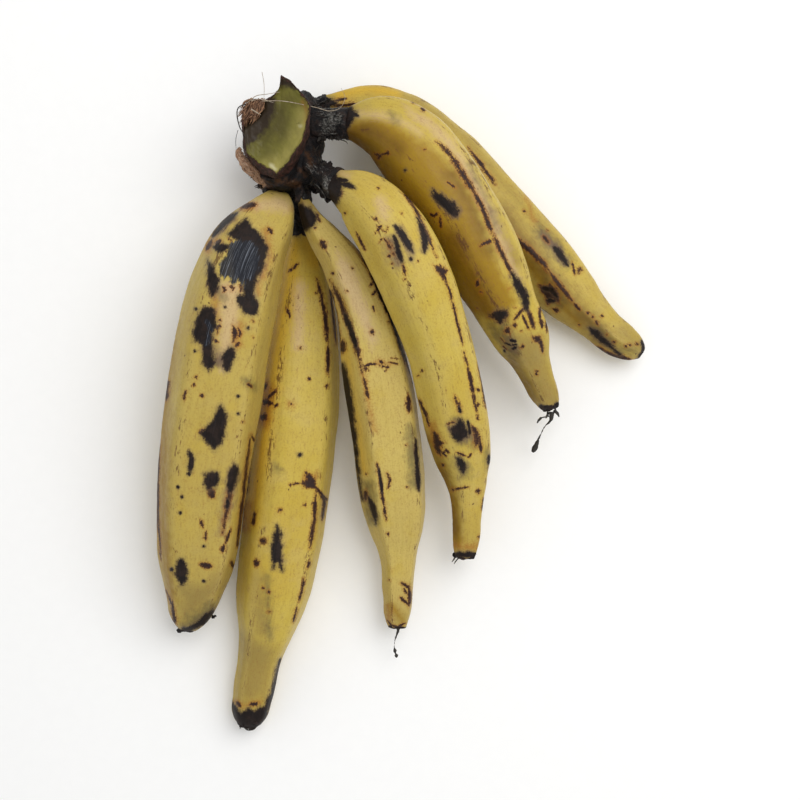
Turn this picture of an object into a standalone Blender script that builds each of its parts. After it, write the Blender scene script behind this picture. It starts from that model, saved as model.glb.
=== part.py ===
"""A hand of ripe plantains lying on a flat surface.

Six fingers grow from one cut piece of bunch stalk. Each finger hangs on its own withered
pedicel, and the pedicels root in a black cushion at the side of the cut piece.

Dimensions are in millimetres and the meshes in metres. +Z is up and +Y runs from the finger
tips to the stalk. The origin is on the surface, under the middle of the whole hand.
"""

import math
from collections import namedtuple

import bmesh
import bpy
import numpy as np

MM = 0.001
GAP = 0.3

# Middle of the hand's outline, taken off every X and Y below.
MIDDLE = (1.5, -4.67)
WHOLE_HAND = "plantain_hand"
# A skin's last two points are the middles of its two ends, the root end first.
ROOT_CENTRE = -2

# A finger's section is round with five soft ridges, and a little flatter than it is wide.
RIDGES = 5
RIDGE_DEPTH = 0.11
RIDGE_SHARPNESS = 1.5
FINGER_SIDES = 20
FINGER_RINGS = 34
# How much closer together the rings stand towards the tip, where a finger narrows fast.
RING_CROWDING = 0.06
# How far the tip bulges past its last ring, as a share of the last ring spacing.
TIP_DOME = 0.35

# course: points along the middle of the pedicel and finger, from the root to the tip.
# girth: (share of the way, width) pairs, measured across the ridges.
# neck: share of the way at which the black pedicel ends and the yellow peel begins.
# ridge_turn: degrees from the finger's own side to its first ridge.
# depth: height of the section over its width.
Finger = namedtuple("Finger", "course girth neck ridge_turn depth")

FINGERS = {
    1: Finger(
        course=(
            (-58.0, 98.5, 17.0), (-56.0, 93.0, 21.5), (-55.5, 87.5, 28.5), (-58.0, 79.5, 37.0),
            (-65.5, 65.5, 43.5), (-74.5, 37.0, 44.5), (-82.0, 0.0, 40.0), (-89.0, -44.5, 31.0),
            (-91.5, -76.5, 23.0), (-97.5, -104.5, 14.0),
        ),
        girth=(
            (0.0, 10.5), (0.05, 12.5), (0.09, 20.0), (0.13, 27.0), (0.17, 31.5), (0.21, 36.0),
            (0.27, 40.0), (0.36, 42.5), (0.5, 44.0), (0.62, 43.0), (0.72, 41.5), (0.8, 38.5),
            (0.865, 32.5), (0.91, 26.0), (0.945, 21.0), (0.98, 16.5), (1.0, 9.0),
        ),
        neck=0.06,
        ridge_turn=62.0,
        depth=0.95,
    ),
    2: Finger(
        course=(
            (-46.0, 98.0, 13.0), (-45.5, 85.0, 13.5), (-45.0, 73.0, 14.0), (-43.8, 57.0, 15.0),
            (-44.5, 23.0, 16.2), (-48.5, -22.5, 17.2), (-54.0, -66.0, 16.3), (-59.5, -100.0, 14.5),
            (-64.5, -119.0, 11.5), (-68.0, -137.5, 9.5), (-70.5, -150.5, 9.0),
        ),
        girth=(
            (0.0, 10.5), (0.07, 11.5), (0.1, 13.5), (0.13, 18.5), (0.17, 24.0), (0.22, 29.5),
            (0.3, 35.5), (0.39, 38.5), (0.48, 40.0), (0.57, 38.5), (0.66, 37.5), (0.755, 33.5),
            (0.83, 24.0), (0.875, 19.0), (0.945, 17.0), (0.975, 14.5), (1.0, 7.0),
        ),
        neck=0.085,
        ridge_turn=135.0,
        depth=0.96,
    ),
    3: Finger(
        course=(
            (-44.5, 99.0, 32.0), (-41.2, 89.0, 36.0), (-38.8, 81.5, 38.5), (-33.0, 72.0, 41.0),
            (-25.0, 60.5, 43.0), (-17.3, 44.0, 44.0), (-9.7, 9.0, 38.0), (-4.5, -27.0, 30.0),
            (-1.8, -59.0, 20.0), (-0.9, -86.5, 15.0), (-0.9, -104.0, 13.0),
        ),
        girth=(
            (0.0, 10.0), (0.08, 11.0), (0.135, 15.5), (0.2, 19.0), (0.29, 23.0), (0.37, 27.0),
            (0.46, 30.5), (0.55, 30.5), (0.69, 29.5), (0.745, 27.5), (0.79, 23.0), (0.835, 17.5),
            (0.88, 15.0), (0.92, 13.5), (0.965, 11.5), (1.0, 6.0),
        ),
        neck=0.085,
        ridge_turn=65.0,
        depth=0.97,
    ),
    4: Finger(
        course=(
            (-44.0, 109.5, 37.0), (-35.0, 99.5, 44.0), (-28.0, 93.5, 50.0), (-17.2, 88.5, 57.5),
            (-6.8, 77.5, 63.0), (1.0, 65.0, 65.0), (9.0, 47.5, 63.0), (15.0, 31.0, 57.0),
            (23.3, 0.5, 44.0), (28.3, -26.0, 32.5), (30.2, -40.5, 26.5), (30.0, -54.0, 22.0),
            (29.5, -71.5, 18.0),
        ),
        girth=(
            (0.0, 11.0), (0.06, 11.0), (0.115, 13.5), (0.175, 22.0), (0.25, 29.5), (0.32, 33.0),
            (0.4, 33.0), (0.49, 30.5), (0.57, 28.5), (0.65, 28.5), (0.735, 27.0), (0.785, 23.5),
            (0.83, 17.0), (0.865, 14.5), (0.92, 13.0), (0.98, 10.5), (1.0, 8.5),
        ),
        neck=0.115,
        ridge_turn=145.0,
        depth=0.94,
    ),
    5: Finger(
        course=(
            (-42.0, 122.5, 34.5), (-31.0, 122.0, 38.0), (-22.0, 121.5, 41.5), (-8.3, 120.0, 46.0),
            (5.7, 110.5, 48.5), (15.7, 97.7, 48.5), (25.0, 84.0, 48.0), (41.5, 54.0, 43.5),
            (51.8, 32.5, 36.5), (61.5, 11.7, 27.0), (68.2, -4.0, 21.0),
        ),
        girth=(
            (0.0, 17.0), (0.055, 13.0), (0.105, 15.0), (0.135, 20.0), (0.185, 28.5), (0.275, 37.5),
            (0.36, 39.5), (0.45, 38.5), (0.55, 37.5), (0.64, 34.0), (0.705, 29.5), (0.77, 27.0),
            (0.82, 23.5), (0.86, 18.0), (0.91, 15.0), (0.96, 12.0), (1.0, 6.0),
        ),
        neck=0.105,
        ridge_turn=140.0,
        depth=0.92,
    ),
    6: Finger(
        course=(
            (-43.0, 131.5, 19.0), (-31.0, 134.5, 18.0), (-18.2, 134.5, 16.5), (-2.3, 126.5, 14.6),
            (18.2, 110.0, 14.0), (41.0, 88.0, 14.0), (62.0, 67.0, 13.0), (79.5, 46.0, 12.0),
            (94.0, 33.0, 11.0), (111.0, 21.5, 10.0),
        ),
        girth=(
            (0.0, 8.5), (0.06, 9.5), (0.125, 18.5), (0.165, 26.5), (0.215, 32.0), (0.345, 35.0),
            (0.51, 35.5), (0.66, 31.5), (0.79, 27.5), (0.85, 23.0), (0.9, 18.5), (0.955, 15.5),
            (0.985, 11.0), (1.0, 6.0),
        ),
        neck=0.065,
        ridge_turn=80.0,
        depth=0.9,
    ),
}

PEDICEL_SIDES = 12
PEDICEL_RINGS = 8
PEDICEL_KNOBS = 0.07
# How far a pedicel's clearance runs on into its finger, so that the hollows of both meet.
SOCKET_OVERLAP = 1.7

# The cushion is an upright pad that bends round the right and lower side of the cut piece.
CUSHION_COURSE = (
    (-44.0, 137.5, 23.0), (-42.0, 129.0, 24.0), (-41.0, 118.0, 24.5), (-41.5, 108.0, 24.5),
    (-44.5, 100.5, 24.0), (-51.0, 97.0, 23.5), (-59.0, 98.0, 24.0), (-65.5, 102.5, 26.0),
    (-70.0, 108.5, 29.0), (-71.8, 114.5, 31.0),
)
CUSHION_WIDTH = (
    (0.0, 5.0), (0.06, 10.0), (0.25, 12.5), (0.5, 13.0), (0.72, 11.5), (0.88, 8.0), (1.0, 3.0),
)
CUSHION_DEPTH = 3.0
CUSHION_SIDES = 20
CUSHION_RINGS = 28
CUSHION_LUMPS = 0.05

# Outline of the sloping cut face, from the spike clockwise, seen from above.
FACE_OUTLINE = (
    (-51.4, 140.5), (-47.7, 138.0), (-44.3, 134.5), (-41.2, 131.0), (-39.1, 127.5),
    (-39.5, 119.5), (-40.8, 115.0), (-43.4, 110.0), (-46.0, 106.0), (-49.5, 102.0),
    (-53.0, 98.5), (-58.5, 100.5), (-63.0, 103.5), (-66.8, 107.5), (-68.0, 112.0),
    (-68.5, 119.0), (-68.3, 126.0), (-64.0, 130.0), (-57.0, 130.5), (-52.8, 134.5),
)
FACE_MIDDLE = (-52.5, 116.5)
FACE_HEIGHT = 51.0
FACE_SLOPE = (0.26, 0.08)
FACE_HOLLOW = 2.0

# Levels of the cut piece under its face: drop from the face, size, roundness, shift in X and Y.
STALK_LEVELS = (
    (2.5, 1.03, 0.12, 0.0, 0.0),
    (9.0, 1.05, 0.45, -1.2, -0.5),
    (20.0, 1.0, 0.75, -2.2, -1.0),
    (34.0, 0.9, 0.9, -2.5, 0.0),
)
STALK_RADII = (14.5, 18.5)
FOOT_SIZE = 0.66
FOOT_SHIFT = (-2.5, 1.0)

# Dried flower threads that are still on two of the tips: course, then (share, width) pairs.
STYLES = {
    3: (
        ((-0.9, -105.9, 12.4), (-1.6, -109.0, 12.0), (-2.6, -112.5, 10.5), (-2.2, -116.5, 8.5),
         (-1.4, -118.6, 7.6)),
        ((0.0, 2.4), (0.25, 1.5), (0.7, 1.3), (0.9, 2.4), (1.0, 1.4)),
    ),
    5: (
        ((68.8, -5.6, 20.2), (68.4, -8.8, 19.5), (65.8, -12.2, 17.5), (63.6, -17.0, 14.5),
         (62.0, -21.5, 12.0), (60.9, -23.8, 11.0)),
        ((0.0, 2.8), (0.2, 1.6), (0.75, 1.7), (0.92, 3.0), (1.0, 1.8)),
    ),
}
STYLE_SIDES = 8
STYLE_RINGS = 12

COLOURS = {
    "peel": ((0.57, 0.43, 0.09), 0.45),
    "withered": ((0.016, 0.014, 0.013), 0.8),
    "cut_stalk": ((0.21, 0.22, 0.05), 0.3),
    "dry_thread": ((0.02, 0.016, 0.012), 0.7),
}


def smooth(at, stations, values):
    """Values on a smooth curve through the stations, at each place in at."""
    stations = np.asarray(stations, float)
    values = np.asarray(values, float)
    if values.ndim == 1:
        return smooth(at, stations, values[:, None])[:, 0]
    step = np.diff(stations)[:, None]
    secant = np.diff(values, axis=0) / step
    inner = (secant[:-1] * step[1:] + secant[1:] * step[:-1]) / (step[1:] + step[:-1])
    slope = np.vstack([secant[:1], inner, secant[-1:]])
    low = np.clip(np.searchsorted(stations, at, side="right") - 1, 0, len(step) - 1)
    t = ((at - stations[low]) / step[low, 0])[:, None]
    start = (1 + 2 * t) * (1 - t) ** 2 * values[low] + t * (1 - t) ** 2 * step[low] * slope[low]
    end = t * t * (3 - 2 * t) * values[low + 1] - t * t * (1 - t) * step[low] * slope[low + 1]
    return start + end


def along(course, at):
    """Points, side vectors and up vectors at each share of a course, and its length."""
    course = np.asarray(course, float)
    lengths = np.linalg.norm(np.diff(course, axis=0), axis=1)
    shares = np.concatenate([[0.0], np.cumsum(lengths)]) / lengths.sum()
    points = smooth(at, shares, course)
    nudge = 1e-4
    ahead = smooth(at + nudge, shares, course) - smooth(at - nudge, shares, course)
    ahead /= np.linalg.norm(ahead, axis=1)[:, None]
    side = np.cross(ahead, (0.0, 0.0, 1.0))
    side /= np.linalg.norm(side, axis=1)[:, None]
    return points, side, np.cross(side, ahead), lengths.sum()


def sweep(course, widths, at, angles, section, depth, more=0.0):
    """Rings of points round a course; more is an extra thickness in millimetres."""
    points, side, up, _ = along(course, at)
    radius = smooth(at, *zip(*widths)) / 2
    reach = radius[:, None] * section + more
    across = reach * np.cos(angles)[None, :]
    above = reach * depth * np.sin(angles)[None, :]
    return points[:, None, :] + across[..., None] * side[:, None, :] + above[..., None] * up[:, None, :]


def ridged(angles, turn):
    """Section of a finger: 1 on each ridge, less on the flats between."""
    wave = 0.5 + 0.5 * np.cos(RIDGES * (angles - math.radians(turn)))
    return 1 - RIDGE_DEPTH * (1 - wave**RIDGE_SHARPNESS)


def length_of(course):
    return along(course, np.zeros(1))[3]


def close_rings(rings, domed=False):
    """Vertices and faces of a closed skin over rings of points."""
    count, sides = rings.shape[:2]
    vertices = rings.reshape(-1, 3)
    faces = []
    for ring in range(count - 1):
        for i in range(sides):
            j = (i + 1) % sides
            a, b = ring * sides + i, ring * sides + j
            faces.append((a, b, b + sides, a + sides))
    middles = [rings[0].mean(axis=0), rings[-1].mean(axis=0)]
    if domed:
        middles[1] += TIP_DOME * (middles[1] - rings[-2].mean(axis=0))
    vertices = np.vstack([vertices, middles])
    first, last = count * sides, count * sides + 1
    for i in range(sides):
        j = (i + 1) % sides
        faces.append((first, j, i))
        faces.append((last, (count - 1) * sides + i, (count - 1) * sides + j))
    return vertices, faces


def add_solid(name, vertices, faces, colour, smooth_shading=True):
    """One closed object, pressed flat where it lies, with its origin at its root end."""
    points = np.array(vertices, float)
    points[:, 2] = np.maximum(points[:, 2], 0.0)
    points[:, :2] -= MIDDLE
    root_end = points[ROOT_CENTRE].copy()
    mesh = bpy.data.meshes.new(name)
    mesh.from_pydata([tuple(point) for point in (points - root_end) * MM], [], faces)
    skin = bmesh.new()
    skin.from_mesh(mesh)
    bmesh.ops.recalc_face_normals(skin, faces=skin.faces)
    bmesh.ops.triangulate(skin, faces=skin.faces)
    skin.to_mesh(mesh)
    skin.free()
    mesh.polygons.foreach_set("use_smooth", [smooth_shading] * len(mesh.polygons))
    solid = bpy.data.objects.new(name, mesh)
    solid.data.materials.append(colour)
    solid.location = root_end * MM
    solid.parent = bpy.data.objects[WHOLE_HAND]
    bpy.context.scene.collection.objects.link(solid)
    return solid


def add_colour(name):
    colour = bpy.data.materials.new(name)
    colour.use_nodes = True
    surface = colour.node_tree.nodes["Principled BSDF"]
    base, roughness = COLOURS[name]
    surface.inputs["Base Color"].default_value = (*base, 1.0)
    surface.inputs["Roughness"].default_value = roughness
    surface.inputs["Metallic"].default_value = 0.0
    return colour


def add_finger(name, finger, colour, more=0.0):
    """The yellow part, from the neck to the blossom end."""
    start = finger.neck + GAP / 2 / length_of(finger.course)
    spacing = np.linspace(0.0, 1.0, FINGER_RINGS)
    at = start + (1 - start) * (spacing + RING_CROWDING * np.sin(math.pi * spacing))
    angles = np.arange(FINGER_SIDES) * 2 * math.pi / FINGER_SIDES + math.radians(finger.ridge_turn)
    section = ridged(angles, finger.ridge_turn)[None, :]
    rings = sweep(finger.course, finger.girth, at, angles, section, finger.depth, more)
    return add_solid(name, *close_rings(rings, domed=True), colour)


def pedicel_rings(number, finger, more=0.0, reach_back=0.0, reach_on=0.0):
    length = length_of(finger.course)
    at = np.linspace(-reach_back / length, finger.neck - (GAP / 2 - reach_on) / length, PEDICEL_RINGS)
    angles = np.arange(PEDICEL_SIDES) * 2 * math.pi / PEDICEL_SIDES
    # Three broad knobs and five small ones wind round it, and fade out at the neck.
    knobs = np.sin(3 * angles[None, :] + number + 40 * at[:, None])
    knobs += 0.6 * np.sin(5 * angles[None, :] - 2 * number - 90 * at[:, None])
    fade = np.clip((finger.neck - at) / finger.neck * 3, 0, 1)[:, None]
    section = 1 + PEDICEL_KNOBS * knobs * fade
    return sweep(finger.course, finger.girth, at, angles, section, 1.0, more)


def add_pedicel(number, finger, colour):
    rings = pedicel_rings(number, finger)
    return add_solid(f"pedicel_{number}", *close_rings(rings), colour)


def add_cushion(name, colour, more=0.0):
    at = np.linspace(0.0, 1.0, CUSHION_RINGS)
    angles = np.arange(CUSHION_SIDES) * 2 * math.pi / CUSHION_SIDES
    # Four lumps lie round its section and seven finer ones wind along it.
    lumps = np.sin(4 * angles[None, :] + 9 * at[:, None])
    lumps += np.sin(7 * angles[None, :] - 31 * at[:, None])
    section = 1 + CUSHION_LUMPS * lumps
    rings = sweep(CUSHION_COURSE, CUSHION_WIDTH, at, angles, section, CUSHION_DEPTH, more)
    return add_solid(name, *close_rings(rings), colour)


def add_stalk(colour):
    """The cut piece of bunch stalk: a stack of outlines that turn rounder from the face down."""
    face = np.array(FACE_OUTLINE)
    offset = face - FACE_MIDDLE
    heights = FACE_HEIGHT + offset @ np.array(FACE_SLOPE)
    bearing = np.arctan2(offset[:, 1] / STALK_RADII[1], offset[:, 0] / STALK_RADII[0])
    oval = np.stack([np.cos(bearing), np.sin(bearing)], axis=1) * STALK_RADII
    rings = [np.column_stack([face, heights])]
    for drop, size, roundness, shift_x, shift_y in STALK_LEVELS:
        outline = (offset * (1 - roundness) + oval * roundness) * size
        outline = outline + FACE_MIDDLE + np.array([shift_x, shift_y])
        rings.append(np.column_stack([outline, heights - drop]))
    foot = oval * FOOT_SIZE + FACE_MIDDLE + np.array(FOOT_SHIFT)
    rings.append(np.column_stack([foot, np.zeros(len(foot))]))
    vertices, faces = close_rings(np.array(rings))
    vertices[ROOT_CENTRE] = (*FACE_MIDDLE, FACE_HEIGHT - FACE_HOLLOW)
    return add_solid("crown_stalk", vertices, faces, colour, smooth_shading=False)


def cut_away(solid, cutter):
    cutter.hide_render = True
    cutter.display_type = "WIRE"
    cut = solid.modifiers.new(f"clear_of_{cutter.name}", "BOOLEAN")
    cut.operation = "DIFFERENCE"
    cut.object = cutter


def add_style(number, course, widths, colour):
    at = np.linspace(0.0, 1.0, STYLE_RINGS)
    angles = np.arange(STYLE_SIDES) * 2 * math.pi / STYLE_SIDES
    rings = sweep(course, widths, at, angles, np.ones((1, STYLE_SIDES)), 1.0)
    return add_solid(f"style_{number}", *close_rings(rings), colour)


def build():
    for leftover in list(bpy.data.objects):
        bpy.data.objects.remove(leftover)
    bpy.context.scene.collection.objects.link(bpy.data.objects.new(WHOLE_HAND, None))
    colours = {name: add_colour(name) for name in COLOURS}
    stalk = add_stalk(colours["cut_stalk"])
    cushion = add_cushion("crown_cushion", colours["withered"])
    cut_away(stalk, add_cushion("cushion_clearance", colours["withered"], more=GAP))
    # The broad shoulder of finger 1 has pressed a hollow in the cushion.
    cut_away(cushion, add_finger("shoulder_clearance", FINGERS[1], colours["peel"], more=GAP))
    for number, finger in FINGERS.items():
        add_finger(f"finger_{number}", finger, colours["peel"])
        add_pedicel(number, finger, colours["withered"])
        rings = pedicel_rings(number, finger, more=GAP, reach_back=GAP, reach_on=SOCKET_OVERLAP)
        socket = add_solid(f"pedicel_clearance_{number}", *close_rings(rings), colours["withered"])
        cut_away(cushion, socket)
        cut_away(stalk, socket)
    for number, (course, widths) in STYLES.items():
        add_style(number, course, widths, colours["dry_thread"])


build()
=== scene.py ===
"""Looks for a hand of ripe plantains that lies on its side, built round its solids."""

import math
import re
from collections import namedtuple

import bpy
import numpy as np
from bpy.props import FloatProperty, FloatVectorProperty, IntProperty, PointerProperty
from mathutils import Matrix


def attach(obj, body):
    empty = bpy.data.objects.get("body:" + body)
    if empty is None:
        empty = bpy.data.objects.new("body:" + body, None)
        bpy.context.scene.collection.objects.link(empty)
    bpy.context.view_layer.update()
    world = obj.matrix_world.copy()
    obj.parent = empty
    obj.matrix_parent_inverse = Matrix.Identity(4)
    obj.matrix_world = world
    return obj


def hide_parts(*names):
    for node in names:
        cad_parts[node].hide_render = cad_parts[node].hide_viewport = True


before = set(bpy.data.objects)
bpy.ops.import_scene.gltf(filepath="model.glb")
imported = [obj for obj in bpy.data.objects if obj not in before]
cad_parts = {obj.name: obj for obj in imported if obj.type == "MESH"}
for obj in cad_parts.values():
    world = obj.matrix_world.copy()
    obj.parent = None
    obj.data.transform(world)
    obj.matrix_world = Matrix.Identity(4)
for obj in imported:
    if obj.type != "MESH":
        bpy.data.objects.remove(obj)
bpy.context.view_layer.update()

bl_info = {
    "name": "Hand of plantains",
    "version": (1, 0, 0),
    "blender": (4, 5, 0),
    "location": "3D View > Sidebar > Plantains",
    "description": "Builds the peel, the withered stalks, the cut crown and the dry threads of a plantain hand",
    "category": "Add Mesh",
}

MM = 0.001
# The middle of the hand in the drawing's own coordinates, in millimetres.
MIDDLE = np.array((1.5, -4.67))

# The photograph is taken from straight above: eye height in millimetres, pixels from the eye to the picture,
# and the picture's middle and side.
EYE_HEIGHT = 745.0
EYE_PIXELS = 1600.0
PICTURE_MIDDLE = 400.0
PICTURE_SIDE = 800.0
SENSOR_WIDTH = 36.0

# Rings and sides of the fine skins.
STALK_RINGS, STALK_SIDES = 78, 76
CUSHION_RINGS, CUSHION_SIDES = 210, 150
CUT_SIDES, CUT_WALL_RINGS, CUT_FACE_RINGS = 260, 58, 62
FLAP_RINGS, FLAP_SIDES = 150, 64
THREAD_RINGS, THREAD_SIDES = 90, 28

# The pale floor, how far it lies below the hand, and the place of the soft light, in metres.
FLOOR_HALF = 3.0
FLOOR_DROP = 0.0002
LIGHT_PLACE = (0.42, 0.38, 0.95)

# Section of a finger: the ridges of its solid, with the flats between them drawn finer.
RIDGES = 5
CREST_HEIGHT = 0.005
CREST_WIDTH = 3.5
ROUNDED_CRISP = 3.5
ROUNDED_REACH = 72.0
# Depth and sharpness of the ridges of the solids, kept at the two sides for the outline's sake.
SOLID_DEPTH = 0.11
SOLID_SHARPNESS = 1.5

# Relief of the peel, in millimetres: soft dents, fine grain, and the rougher blossom end.
DENT_WIDTH, DENT_SINK = 17.0, 0.6
GRAIN_WIDTH, GRAIN_HEIGHT = 1.7, 0.05
TIP_WIDTH, TIP_HEIGHT = 1.6, 0.4
# Random marks on the hidden sides: streaks on each ridge, and marks between the ridges.
RIDGE_STREAKS = 2
LOOSE_MARKS = 9

Finger = namedtuple("Finger", "course girth neck ridge_turn depth cap paler crisp flat rounded dull fuller")

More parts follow.
